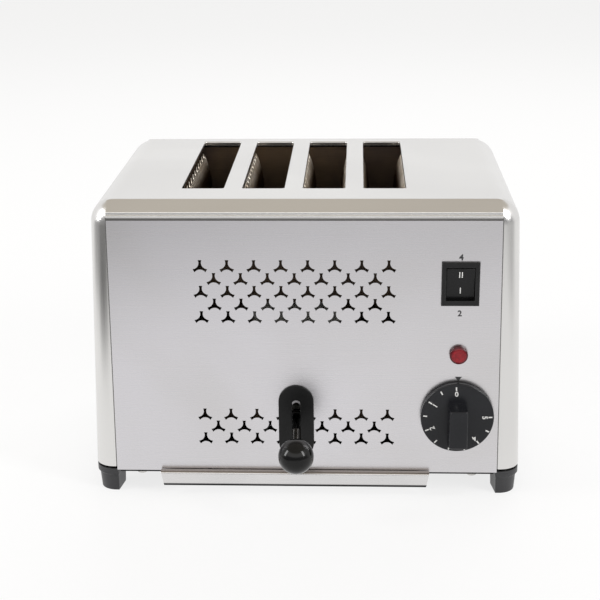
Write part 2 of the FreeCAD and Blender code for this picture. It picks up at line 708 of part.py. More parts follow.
def front_baffle():
    """The front end plate of the toasting chamber, with a slot for each bread rest's bar."""
    inner = CHAMBER_FRONT + CHAMBER_SHEET
    left, right = SHIELD_LEFT - CHAMBER_SHEET, SHIELD_RIGHT + CHAMBER_SHEET
    plate = box(left, right, CHAMBER_FRONT, inner, PAN_TOP, CHAMBER_TOP)
    half = REST_THICK / 2 + REST_SLOT_SIDE
    low = REST_BOTTOM - TRAVEL - REST_SLOT_END
    for x in SLOT_XS:
        plate = plate.cut(box(x - half, x + half, 0, 2 * inner, low, REST_TOP + REST_SLOT_END))
    flange = box(SHIELD_LEFT + CHAMBER_SHEET / 2, SHIELD_RIGHT - CHAMBER_SHEET / 2, inner,
                 inner + SHEET_FLANGE, PAN_TOP, PAN_TOP + CHAMBER_SHEET)
    return plate.fuse(flange).removeSplitter()


def rear_baffle(front_one):
    return front_one.mirror(V(0, (CHAMBER_FRONT + CHAMBER_BACK) / 2, 0), BACK)


def side_shield(x, side):
    """A side wall of the chamber between the two end plates, with a flange away from the chamber."""
    back = CHAMBER_BACK - CHAMBER_SHEET
    wall = box(x - CHAMBER_SHEET / 2, x + CHAMBER_SHEET / 2, CHAMBER_FRONT + CHAMBER_SHEET, back,
               PAN_TOP, SHIELD_TOP)
    foot_flange = box(min(x, x + side * SHEET_FLANGE), max(x, x + side * SHEET_FLANGE),
                      CHAMBER_FRONT + CHAMBER_SHEET, back, PAN_TOP, PAN_TOP + CHAMBER_SHEET)
    return wall.fuse(foot_flange).removeSplitter()


def mica_board(x):
    return box(x - MICA_THICK / 2, x + MICA_THICK / 2, CHAMBER_FRONT + CHAMBER_SHEET,
               CHAMBER_BACK - CHAMBER_SHEET, MICA_BOTTOM, MICA_TOP)


def ribbon_sheet(x0):
    """One heating ribbon: runs to and fro across the board, joined at alternate ends."""
    front = CHAMBER_FRONT + RIBBON_MARGIN
    back = CHAMBER_BACK - RIBBON_MARGIN
    low = MICA_BOTTOM + RIBBON_MARGIN
    pitch = (MICA_TOP - RIBBON_MARGIN - RIBBON_WIDTH - low) / (RIBBON_RUNS - 1)
    parts = []
    for run in range(RIBBON_RUNS):
        z = low + run * pitch
        parts.append(box(x0, x0 + RIBBON_THICK, front, back, z, z + RIBBON_WIDTH))
        if run < RIBBON_RUNS - 1:
            end = back - RIBBON_WIDTH if run % 2 == 0 else front
            parts.append(box(x0, x0 + RIBBON_THICK, end, end + RIBBON_WIDTH, z, z + pitch))
    return join(parts)


def heating_ribbon(index):
    """Outer boards heat only their slot's side, and the boards between slots heat both sides."""
    x = BOARD_XS[index]
    sheets = []
    if index > 0:
        sheets.append(ribbon_sheet(x - MICA_THICK / 2 - RIBBON_THICK))
    if index < SLOT_COUNT:
        sheets.append(ribbon_sheet(x + MICA_THICK / 2))
    return Part.makeCompound(sheets)


def guard_path():
    """Centre line of one guard at X = 0: a wire that zigzags up and down along the slot, and leans
    out at the top. It starts on the front end plate and ends on the back one."""
    lean_x = GUARD_OUTER - GUARD_INNER
    flare_z = GUARD_TOP - GUARD_BEND - GUARD_FLARE_START
    flare_radius = (flare_z ** 2 + lean_x ** 2) / (2 * lean_x)
    angle = math.asin(flare_z / flare_radius)
    tangent = V(math.sin(angle), 0, math.cos(angle))
    half_angle = angle / 2
    flare_mid = V(flare_radius * (1 - math.cos(half_angle)), 0,
                  GUARD_FLARE_START + flare_radius * math.sin(half_angle))
    flare_end = V(lean_x, 0, GUARD_FLARE_START + flare_z)
    legs = 2 * GUARD_LOOPS
    first = (CHAMBER_FRONT + CHAMBER_BACK - GUARD_PITCH * (legs - 1)) / 2
    low = V(0, 0, GUARD_BOTTOM + GUARD_BEND)
    edges = []
    start = CHAMBER_FRONT + CHAMBER_SHEET
    slant = GUARD_BEND * (1 - math.sqrt(0.5))
    edges.append(Part.LineSegment(V(0, start, GUARD_BOTTOM), V(0, first - GUARD_BEND, GUARD_BOTTOM)))
    edges.append(Part.Arc(V(0, first - GUARD_BEND, GUARD_BOTTOM), V(0, first - slant, GUARD_BOTTOM + slant),
                          low + BACK * first))
    for leg in range(legs):
        y = BACK * (first + leg * GUARD_PITCH)
        step = BACK * GUARD_PITCH
        upward = [Part.LineSegment(low + y, V(0, 0, GUARD_FLARE_START) + y),
                  Part.Arc(V(0, 0, GUARD_FLARE_START) + y, flare_mid + y, flare_end + y)]
        if leg % 2 == 0:
            edges += upward
            edges.append(Part.Arc(flare_end + y, flare_end + y + step / 2 + tangent * GUARD_BEND,
                                  flare_end + y + step))
        else:
            edges.append(Part.Arc(flare_end + y, flare_mid + y, V(0, 0, GUARD_FLARE_START) + y))
            edges.append(Part.LineSegment(V(0, 0, GUARD_FLARE_START) + y, low + y))
            if leg < legs - 1:
                edges.append(Part.Arc(low + y, low + y + step / 2 - UP * GUARD_BEND, low + y + step))
    last = first + (legs - 1) * GUARD_PITCH
    end = CHAMBER_BACK - CHAMBER_SHEET
    edges.append(Part.Arc(low + BACK * last, V(0, last + slant, GUARD_BOTTOM + slant),
                          V(0, last + GUARD_BEND, GUARD_BOTTOM)))
    edges.append(Part.LineSegment(V(0, last + GUARD_BEND, GUARD_BOTTOM), V(0, end, GUARD_BOTTOM)))
    return Part.Wire([e.toShape() for e in edges])


def guard():
    start = V(0, CHAMBER_FRONT + CHAMBER_SHEET, GUARD_BOTTOM)
    profile = Part.Wire(Part.Circle(start, BACK, GUARD_WIRE).toShape())
    return guard_path().makePipeShell([profile], True, False)


def wire_guards(x, right_guard):
    right = right_guard.translated(V(x + GUARD_INNER, 0, 0))
    left = mirror_x(right_guard).translated(V(x - GUARD_INNER, 0, 0))
    return Part.makeCompound([right, left])


def bread_rest(x):
    """A bar that runs through both end plates, with short ribs across it under the bread."""
    half = REST_THICK / 2
    parts = [box(x - half, x + half, CARRIAGE_Y + CARRIAGE_THICK, REAR_PLATE_Y, REST_BOTTOM, REST_TOP)]
    span = SLOT_LENGTH - 2 * REST_RIB_MARGIN
    for i in range(REST_RIBS):
        y = SLOT_FRONT + REST_RIB_MARGIN + span * i / (REST_RIBS - 1)
        parts.append(box(x - REST_RIB_HALF, x + REST_RIB_HALF, y - half, y + half,
                         REST_TOP - REST_RIB_DEPTH, REST_TOP))
    return join(parts)


def carriage_front_plate():
    """The bar that carries all rests, its middle drop, and the arm that reaches forward over the
    armature and turns up behind the front panel to hold the lever's rod."""
    y0, y1 = CARRIAGE_Y, CARRIAGE_Y + CARRIAGE_THICK
    bar = box(BAY_X - CARRIAGE_HALF, BAY_X + CARRIAGE_HALF, y0, y1, CARRIAGE_BAR_BOTTOM, CARRIAGE_BAR_TOP)
    drop = box(LEVER_X - DROP_HALF, LEVER_X + DROP_HALF, y0, y1, DROP_BOTTOM, CARRIAGE_BAR_TOP)
    left, right = LEVER_X - ARM_HALF, LEVER_X + ARM_HALF
    low = DROP_BOTTOM + ARMATURE_THICK
    arm = box(left, right, ARM_FRONT, y1, low, low + CARRIAGE_THICK)
    upright = box(left, right, ARM_FRONT, ARM_FRONT + CARRIAGE_THICK, low, ARM_TOP)
    hole = rod(lever_point(-PLATE_THICK), lever_point(y0), ROD_RADIUS + RUNNING_FIT)
    return join([bar, drop, arm, upright.cut(hole)])


def carriage_rear_plate():
    return box(BAY_X - CARRIAGE_HALF, BAY_X + CARRIAGE_HALF, REAR_PLATE_Y, REAR_PLATE_Y + CARRIAGE_THICK,
               CARRIAGE_BAR_BOTTOM, CARRIAGE_BAR_TOP)


def slide_bushes():
    top = TOP_BRACKET_Z - STOP_GAP
    solids = []
    for x in GUIDE_XS:
        block = box(x - BUSH_WIDTH / 2, x + BUSH_WIDTH / 2, GUIDE_Y - BUSH_WIDTH / 2, CARRIAGE_Y,
                    BUSH_BOTTOM, top)
        solids.append(block.cut(rod(V(x, GUIDE_Y, 0), V(x, GUIDE_Y, CASE_TOP), GUIDE_RADIUS + RUNNING_FIT)))
    return Part.makeCompound(solids)


def guide_base():
    block = box(LEVER_X - BRACKET_HALF, LEVER_X + BRACKET_HALF, BRACKET_FRONT, CARRIAGE_Y + CARRIAGE_THICK,
                PAN_TOP, BRACKET_TOP)
    for x in GUIDE_XS:
        block = block.cut(rod(V(x, GUIDE_Y, BRACKET_TOP - GUIDE_SEAT), V(x, GUIDE_Y, CASE_TOP),
                              GUIDE_RADIUS + RUNNING_FIT))
    return block


def guide_top_bracket():
    """An angle on the front end plate that holds the rods' upper ends and stops the carriage."""
    left, right = LEVER_X - BRACKET_HALF, LEVER_X + BRACKET_HALF
    top = TOP_BRACKET_Z + TOP_BRACKET_THICK
    shelf = box(left, right, BRACKET_FRONT, CHAMBER_FRONT, TOP_BRACKET_Z, top)
    riser = box(left, right, CHAMBER_FRONT - TOP_BRACKET_THICK, CHAMBER_FRONT, TOP_BRACKET_Z,
                top + SHEET_FLANGE)
    bracket = shelf.fuse(riser).removeSplitter()
    for x in GUIDE_XS:
        bracket = bracket.cut(rod(V(x, GUIDE_Y, 0), V(x, GUIDE_Y, CASE_TOP), GUIDE_RADIUS + RUNNING_FIT))
    return bracket


def guide_rod(x):
    return rod(V(x, GUIDE_Y, BRACKET_TOP - GUIDE_SEAT),
               V(x, GUIDE_Y, TOP_BRACKET_Z + TOP_BRACKET_THICK), GUIDE_RADIUS)


def biarc(p0, t0, p1, t1):
    """Two arcs that join p0 to p1 and start and end along the unit directions t0 and t1."""
    chord = p1 - p0
    tangents = t0 + t1
    a = 2 * (1 - t0.dot(t1))
    b = 2 * chord.dot(tangents)
    reach = (-b + math.sqrt(b * b + 4 * a * chord.dot(chord))) / (2 * a)
    joint = (p0 + p1 + (t0 - t1) * reach) * 0.5

    def arc(start, tangent, end):
        line = end - start
        apex = start + tangent * (line.dot(line) / (2 * line.dot(tangent)))
        middle = (start + end) * 0.5
        inward = middle - apex
        turn = math.acos(max(-1, min(1, tangent.dot(line.normalize()))))
        sag = (end - start).Length / 2 * math.tan(turn / 2)
        return Part.Arc(start, middle - inward.normalize() * sag, end)

    first = arc(p0, t0, joint)
    second_reverse = arc(p1, t1 * -1, joint)
    middle = second_reverse.value((second_reverse.FirstParameter + second_reverse.LastParameter) / 2)
    return [first, Part.Arc(joint, middle, p1)]


def return_spring(x):
    """A compression spring round a guide rod, from the base bracket to the carriage's bush."""
    low = BRACKET_TOP + SPRING_WIRE
    high = BUSH_BOTTOM - SPRING_WIRE
    rise = (high - low) / SPRING_TURNS
    quarter = math.pi / 2
    climb = rise / (2 * math.pi)

    def at(angle):
        return V(x + SPRING_RADIUS * math.cos(angle), GUIDE_Y + SPRING_RADIUS * math.sin(angle),
                 low + climb * angle)

    def heading(angle):
        return V(-SPRING_RADIUS * math.sin(angle), SPRING_RADIUS * math.cos(angle), climb).normalize()

    edges = []
    for i in range(4 * SPRING_TURNS):
        a, b = i * quarter, (i + 1) * quarter
        edges += biarc(at(a), heading(a), at(b), heading(b))
    wire = Part.Wire([e.toShape() for e in edges])
    profile = Part.Wire(Part.Circle(at(0), heading(0), SPRING_WIRE).toShape())
    return wire.makePipeShell([profile], True, False)


def lever_point(y):
    """A point on the axis of the lever's rod, at depth y."""
    return V(LEVER_X - BALL_LEAN * y / BALL_REACH, y, ROD_Z_AT_PANEL + ROD_SLOPE * y)


def lever_rod():
    """The rod from the ball to the arm, with its hex nut behind the arm."""
    ball = lever_point(-BALL_REACH)
    inward = (lever_point(0) - ball).normalize()
    start = ball + inward * (BALL_RADIUS - ROD_IN_BALL)
    nut_front = ARM_FRONT + CARRIAGE_THICK
    end = lever_point(nut_front + ROD_NUT + SCREW_TIP)
    centre = lever_point(nut_front + ROD_NUT / 2)
    corner = ROD_NUT_ACROSS / math.sqrt(3)
    points = [(centre.x + corner * math.cos(math.radians(60 * i)),
               centre.z + corner * math.sin(math.radians(60 * i))) for i in range(6)]
    nut = prism_xz(points, nut_front, nut_front + ROD_NUT)
    return rod(start, end, ROD_RADIUS).fuse(nut).removeSplitter()


def lever_ball():
    centre = lever_point(-BALL_REACH)
    inward = (lever_point(0) - centre).normalize()
    mouth = centre + inward * 2 * BALL_RADIUS
    bottom = centre + inward * (BALL_RADIUS - ROD_IN_BALL)
    return Part.makeSphere(BALL_RADIUS, centre).cut(rod(bottom, mouth, ROD_RADIUS + RUNNING_FIT))


def lever_escutcheon():
    outer = Part.Face(obround_xz(LEVER_X, PLATE_WIDTH / 2, PLATE_BOTTOM, PLATE_TOP, -PLATE_THICK))
    plate = outer.extrude(V(0, PLATE_THICK, 0))
    rim = [e for e in plate.Edges if e.BoundBox.YMax < -PLATE_THICK + 0.01]
    plate = plate.makeChamfer(PLATE_CHAMFER, rim)
    slot = Part.Face(obround_xz(LEVER_X, LEVER_SLOT_WIDTH / 2, LEVER_SLOT_BOTTOM, LEVER_SLOT_TOP,
                                -2 * PLATE_THICK))
    return plate.cut(slot.extrude(V(0, 4 * PLATE_THICK, 0)))


def armature():
    return box(LEVER_X - MAGNET_HALF, LEVER_X + MAGNET_HALF, MAGNET_FRONT, CARRIAGE_Y, DROP_BOTTOM,
               DROP_BOTTOM + ARMATURE_THICK)


def electromagnet():
    """Holds the armature down while the timer runs: a coil on a core, with two pole plates."""
    top = DROP_BOTTOM - TRAVEL - MAGNET_GAP
    mid_y = (MAGNET_FRONT + MAGNET_BACK) / 2
    left, right = LEVER_X - MAGNET_HALF, LEVER_X + MAGNET_HALF
    yoke_top = BRACKET_TOP + MAGNET_YOKE
    yoke = box(left, right, MAGNET_FRONT, MAGNET_BACK, BRACKET_TOP, yoke_top)
    poles = [box(x, x + MAGNET_POLE, MAGNET_FRONT, MAGNET_BACK, BRACKET_TOP, top)
             for x in (left, right - MAGNET_POLE)]
    coil_z = yoke_top + COIL_RADIUS - COIL_SINK
    coil = rod(V(left + MAGNET_POLE, mid_y, coil_z), V(right - MAGNET_POLE, mid_y, coil_z), COIL_RADIUS)
    return join([yoke] + poles + [coil])


def rocker_profile():
    """Side view of the rocker at rest, with its lower half pressed in. Depth runs along Y."""
    def at(radius_u, out, tilt):
        angle = math.radians(tilt)
        u = radius_u * math.cos(angle) - out * math.sin(angle)
        v = radius_u * math.sin(angle) + out * math.cos(angle)
        return V(0, ROCKER_PIVOT_DEPTH - v, SWITCH_Z + u)

    edge_u = math.sqrt(ROCKER_RADIUS ** 2 - ROCKER_LIP ** 2)
    tilt = ROCKER_SWING
    top_corner, low_corner = at(edge_u, ROCKER_LIP, tilt), at(-edge_u, ROCKER_LIP, tilt)
    top_base, low_base = at(ROCKER_RADIUS, 0, tilt), at(-ROCKER_RADIUS, 0, tilt)
    half = math.asin(ROCKER_LIP / ROCKER_RADIUS) / 2
    arc_u, arc_v = ROCKER_RADIUS * math.cos(half), ROCKER_RADIUS * math.sin(half)
    edges = [Part.LineSegment(low_base, top_base), Part.Arc(top_base, at(arc_u, arc_v, tilt), top_corner),
             Part.LineSegment(top_corner, at(0, ROCKER_CREST, tilt)),
             Part.LineSegment(at(0, ROCKER_CREST, tilt), low_corner),
             Part.Arc(low_corner, at(-arc_u, arc_v, tilt), low_base)]
    return Part.Wire([e.toShape() for e in edges])


def switch_rocker():
    body = Part.Face(rocker_profile()).extrude(RIGHT * ROCKER_WIDTH)
    body = body.translated(RIGHT * (CONTROL_X - ROCKER_WIDTH / 2))
    reach = SWITCH_WIDTH / 2 - CUTOUT_GAP
    pin = rod(V(CONTROL_X - reach, ROCKER_PIVOT_DEPTH, SWITCH_Z),
              V(CONTROL_X + reach, ROCKER_PIVOT_DEPTH, SWITCH_Z), ROCKER_PIN)
    return body.fuse(pin).removeSplitter()


def switch_housing():
    x, z = CONTROL_X, SWITCH_Z
    bezel = box(x - BEZEL_WIDTH / 2, x + BEZEL_WIDTH / 2, -BEZEL_PROUD, 0, z - BEZEL_HEIGHT / 2,
                z + BEZEL_HEIGHT / 2)
    rim = [e for e in bezel.Edges if e.BoundBox.YMax < -BEZEL_PROUD + 0.01]
    bezel = bezel.makeChamfer(BEZEL_CHAMFER, rim)
    body = box(x - SWITCH_WIDTH / 2, x + SWITCH_WIDTH / 2, 0, SWITCH_DEPTH, z - SWITCH_HEIGHT / 2,
               z + SWITCH_HEIGHT / 2)
    half = ROCKER_WIDTH / 2 + ROCKER_SIDE_GAP
    well = rod(V(x - half, ROCKER_PIVOT_DEPTH, z), V(x + half, ROCKER_PIVOT_DEPTH, z),
               ROCKER_RADIUS + ROCKER_GAP)
    reach = BEZEL_PROUD + ROCKER_PIVOT_DEPTH
    window = math.sqrt(ROCKER_RADIUS ** 2 - reach ** 2) + ROCKER_GAP
    mouth = box(x - half, x + half, -2 * BEZEL_PROUD, ROCKER_PIVOT_DEPTH, z - window, z + window)
    pins = rod(V(x - SWITCH_WIDTH / 2, ROCKER_PIVOT_DEPTH, z), V(x + SWITCH_WIDTH / 2, ROCKER_PIVOT_DEPTH, z),
               ROCKER_PIN + RUNNING_FIT)
    return bezel.fuse(body).removeSplitter().cut(well).cut(mouth).cut(pins)


def switch_terminals():
    """Six flat blades at the back of the switch, in two columns of three."""
    blades = []
    for side in (-1, 1):
        for row in (-1, 0, 1):
            x, z = CONTROL_X + side * BLADE_SPREAD / 2, SWITCH_Z + row * BLADE_PITCH
            blades.append(box(x - BLADE_THICK / 2, x + BLADE_THICK / 2, SWITCH_DEPTH,
                              SWITCH_DEPTH + BLADE_LENGTH, z - BLADE_WIDTH / 2, z + BLADE_WIDTH / 2))
    return Part.makeCompound(blades)


def lamp_lens():
    """Domed red cap whose rim lies on the panel."""
    rim = rod(V(CONTROL_X, 0, LAMP_Z), V(CONTROL_X, -LAMP_PROUD, LAMP_Z), LAMP_RADIUS)
    front = [e for e in rim.Edges if e.BoundBox.YMax < -LAMP_PROUD + 0.01]
    return rim.makeFillet(LAMP_ROUND, front)


def lamp_body():
    """Barrel behind the lens, and the clip that holds it behind the panel."""
    barrel = rod(V(CONTROL_X, 0, LAMP_Z), V(CONTROL_X, LAMP_BODY_DEPTH, LAMP_Z), LAMP_BODY_RADIUS)
    clip = rod(V(CONTROL_X, PANEL_THICK, LAMP_Z), V(CONTROL_X, PANEL_THICK + LAMP_CLIP_THICK, LAMP_Z),
               LAMP_BODY_RADIUS + LAMP_CLIP_RIM)
    return barrel.fuse(clip).removeSplitter()


def timer_body():
    """Clockwork case: a square mounting plate behind the panel and a smaller case on it."""
    x, z, half = CONTROL_X, KNOB_Z, TIMER_SIZE / 2
    plate = box(x - half, x + half, PANEL_THICK, PANEL_THICK + TIMER_PLATE, z - half, z + half)
    inner = half - TIMER_PLATE
    case = box(x - inner, x + inner, PANEL_THICK, PANEL_THICK + TIMER_DEPTH, z - inner, z + inner)
    shape = join([plate, case])
    shaft_end = PANEL_THICK + SHAFT_IN_TIMER
    shape = shape.cut(rod(V(x, 0, z), V(x, shaft_end, z), TIMER_SHAFT_RADIUS + RUNNING_FIT))
    screw_end = SCREW_LENGTH + TAP_EXTRA
    for side in (-1, 1):
        sx = x + side * TIMER_SCREW_SPREAD / 2
        shape = shape.cut(rod(V(sx, 0, z), V(sx, screw_end, z), SCREW_RADIUS + THREAD_FIT))
    return shape


def timer_shaft():
    return rod(V(CONTROL_X, PANEL_THICK + SHAFT_IN_TIMER - SHAFT_END_GAP, KNOB_Z),
               V(CONTROL_X, -KNOB_BACK - KNOB_DISC - SHAFT_IN_BAR, KNOB_Z), TIMER_SHAFT_RADIUS)


def timer_knob():
    """Round dial with a tapered grip bar that runs from above its centre to its lower edge."""
    x, z = CONTROL_X, KNOB_Z
    disc = rod(V(x, -KNOB_BACK, z), V(x, -KNOB_BACK - KNOB_DISC, z), KNOB_RADIUS)
    rim = [e for e in disc.Edges if e.BoundBox.YMax < -KNOB_BACK - KNOB_DISC + 0.01]
    disc = disc.makeChamfer(KNOB_CHAMFER, rim)
    disc = disc.cut(rod(V(x, 0, z), V(x, -KNOB_BACK - KNOB_RECESS, z), KNOB_RADIUS - KNOB_RIM))
    face = -KNOB_BACK - KNOB_DISC

    def bar_outline(y, width, above, below):
        half = width / 2
        return Part.makePolygon([V(x - half, y, z - below), V(x + half, y, z - below),
                                 V(x + half, y, z + above), V(x - half, y, z + above),
                                 V(x - half, y, z - below)])

    bar = Part.makeLoft([bar_outline(face + KNOB_CHAMFER, KNOB_BAR_WIDTH, KNOB_BAR_ABOVE, KNOB_BAR_BELOW),
                         bar_outline(face - KNOB_BAR_HEIGHT, KNOB_BAR_TIP, KNOB_BAR_ABOVE - KNOB_BAR_SCOOP,
                                     KNOB_BAR_BELOW - KNOB_BAR_TOE)], True, True)
    long_edges = [e for e in bar.Edges if e.BoundBox.YMax < face - KNOB_BAR_HEIGHT + 0.01
                  and e.BoundBox.ZLength > KNOB_BAR_WIDTH]
    bar = bar.makeFillet(KNOB_BAR_ROUND, long_edges)
    bore = rod(V(x, 0, z), V(x, face - SHAFT_IN_BAR - SHAFT_END_GAP, z), TIMER_SHAFT_RADIUS + RUNNING_FIT)
    return join([disc, bar]).cut(bore)


def crumb_tray():
    """Shallow tray whose floor runs forward under the panel and folds up and back into a lip."""
    t = TRAY_SHEET
    left, right = TRAY_X - TRAY_HALF, TRAY_X + TRAY_HALF
    floor = box(left, right, -LIP_REACH + LIP_BEND, TRAY_BACK, TRAY_BOTTOM, TRAY_BOTTOM + t)
    walls = [box(left, left + t, TRAY_DAM, TRAY_BACK, TRAY_BOTTOM, TRAY_WALL_TOP),
             box(right - t, right, TRAY_DAM, TRAY_BACK, TRAY_BOTTOM, TRAY_WALL_TOP),
             box(left, right, TRAY_BACK - t, TRAY_BACK, TRAY_BOTTOM, TRAY_WALL_TOP),
             box(left, right, TRAY_DAM, TRAY_DAM + t, TRAY_BOTTOM, TRAY_WALL_TOP)]
    outer = [(-LIP_GAP, TRAY_BOTTOM), (-LIP_REACH, TRAY_BOTTOM), (-LIP_REACH, LIP_TOP), (-LIP_GAP, LIP_TOP)]
    block = prism_yz(outer, TRAY_X - LIP_TOP_HALF, TRAY_X + LIP_TOP_HALF)
    bends = [e for e in block.Edges if e.BoundBox.YMax < -LIP_REACH + 0.01 and e.BoundBox.XLength > TRAY_HALF]
    block = block.makeFillet(LIP_BEND, bends)
    hollow = prism_yz([(0, TRAY_BOTTOM + t), (-LIP_REACH + t, TRAY_BOTTOM + t), (-LIP_REACH + t, LIP_TOP - t),
                       (0, LIP_TOP - t)], TRAY_X - LIP_TOP_HALF - 1, TRAY_X + LIP_TOP_HALF + 1)
    inner_bends = [e for e in hollow.Edges
                   if e.BoundBox.YMax < -LIP_REACH + t + 0.01 and e.BoundBox.XLength > TRAY_HALF]
    lip = block.cut(hollow.makeFillet(LIP_BEND - t, inner_bends))
    low = TRAY_BOTTOM - 1
    sides = prism_xz([(TRAY_X - LIP_BOTTOM_HALF, low), (TRAY_X + LIP_BOTTOM_HALF, low),
                      (TRAY_X + LIP_TOP_HALF, LIP_TOP), (TRAY_X - LIP_TOP_HALF, LIP_TOP)], -2 * LIP_REACH, 0)
    return join([lip.common(sides), floor] + walls)


def tray_runner(side):
    """A rail under the base plate whose ledge carries one edge of the tray."""
    web = TRAY_X + side * (TRAY_HALF + RUNNER_GAP + RUNNER_SHEET / 2)
    web_x = sorted((web - RUNNER_SHEET / 2, web + RUNNER_SHEET / 2))
    ledge_top = TRAY_BOTTOM - RUNNER_GAP
    wall = box(web_x[0], web_x[1], RUNNER_FRONT, RUNNER_BACK, ledge_top - RUNNER_SHEET, PAN_BOTTOM)
    inner = sorted((web, web - side * RUNNER_LEDGE))
    ledge = box(inner[0], inner[1], RUNNER_FRONT, RUNNER_BACK, ledge_top - RUNNER_SHEET, ledge_top)
    return wall.fuse(ledge).removeSplitter()


def cord_gland():
    """Plastic cord gland: a hex collar outside the back panel and a locknut inside it."""
    x, z = CONTROL_X, GLAND_Z
    corner = GLAND_HEAD
    points = [V(x + corner * math.cos(math.radians(60 * i + 30)), CASE_DEPTH,
                z + corner * math.sin(math.radians(60 * i + 30))) for i in range(7)]
    collar = Part.Face(Part.makePolygon(points)).extrude(V(0, GLAND_COLLAR, 0))
    dome = rod(V(x, CASE_DEPTH, z), V(x, CASE_DEPTH + GLAND_PROUD, z), GLAND_DOME)
    outer = [e for e in dome.Edges if e.BoundBox.YMin > CASE_DEPTH + GLAND_PROUD - 0.01]
    dome = dome.makeFillet(GLAND_ROUND, outer)
    inside = CASE_DEPTH - PANEL_THICK - GLAND_NUT
    thread = rod(V(x, inside - GLAND_THREAD_END, z), V(x, CASE_DEPTH, z), GLAND_THREAD)
    nut = rod(V(x, inside, z), V(x, CASE_DEPTH - PANEL_THICK, z), GLAND_HEAD)
    shape = join([collar, dome, thread, nut])
    return shape.cut(rod(V(x, 0, z), V(x, 2 * CASE_DEPTH, z), GLAND_BORE))


def pole_x(pole):
    return BLOCK_X + BLOCK_WIDTH * ((pole + 0.5) / BLOCK_POLES - 0.5)


def terminal_block():
    """Ceramic block on the base plate, with a lead hole through and a screw well for each pole."""
    block = box(BLOCK_X - BLOCK_WIDTH / 2, BLOCK_X + BLOCK_WIDTH / 2, BLOCK_Y, BLOCK_Y + BLOCK_DEPTH,
                PAN_TOP, PAN_TOP + BLOCK_HEIGHT)
    mid = PAN_TOP + BLOCK_HEIGHT / 2
    for pole in range(BLOCK_POLES):
        x = pole_x(pole)
        block = block.cut(rod(V(x, 0, mid), V(x, CASE_DEPTH, mid), LEAD_RADIUS + THREAD_FIT))
        for y in (BLOCK_Y + BLOCK_WELL_INSET, BLOCK_Y + BLOCK_DEPTH - BLOCK_WELL_INSET):
            block = block.cut(rod(V(x, y, mid), V(x, y, CASE_TOP), BLOCK_WELL))
    return block


def lead(points):
    """A wire of straight runs with a round bend at each inner point, which takes up most of the
    shorter run beside it."""
    share = 0.45
    edges = []
    start = points[0]
    for before, corner, after in zip(points, points[1:], points[2:]):
        to_before, to_after = before - corner, after - corner
        reach = share * min(to_before.Length, to_after.Length)
        a = corner + to_before.normalize() * reach
        b = corner + to_after.normalize() * reach
        bisector = (a - corner) + (b - corner)
        half = math.acos(max(-1, min(1, (a - corner).normalize().dot((b - corner).normalize())))) / 2
        radius = reach * math.tan(half)
        middle = corner + bisector.normalize() * (radius / math.sin(half) - radius)
        edges += [Part.LineSegment(start, a), Part.Arc(a, middle, b)]
        start = b
    edges.append(Part.LineSegment(start, points[-1]))
    wire = Part.Wire([e.toShape() for e in edges])
    profile = Part.Wire(Part.Circle(points[0], points[1] - points[0], LEAD_RADIUS).toShape())
    return wire.makePipeShell([profile], True, False)


def internal_leads():
    """Leads from the terminal block to the timer, the lamp and the switch."""
    mid = PAN_TOP + BLOCK_HEIGHT / 2
    timer_back = V(CONTROL_X, PANEL_THICK + TIMER_DEPTH, KNOB_Z)
    lamp_back = V(CONTROL_X, LAMP_BODY_DEPTH, LAMP_Z)
    blade = V(CONTROL_X + BLADE_SPREAD / 2, SWITCH_DEPTH + BLADE_LENGTH, SWITCH_Z - BLADE_PITCH)
    routes = [
        [timer_back + V(0, 47, 0), timer_back],
        [lamp_back + V(0, 61, -10), lamp_back + V(0, 36, 0), lamp_back],
        [blade + V(8, 70, -20), blade + V(0, 38, 0), blade],
    ]
    leads = []
    for pole, route in enumerate(routes):
        start = V(pole_x(pole), BLOCK_Y + LEAD_IN_BLOCK, mid)
        leads.append(lead([start, start - BACK * (LEAD_IN_BLOCK + LEAD_RUN_OUT)] + route))
    return Part.makeCompound(leads)


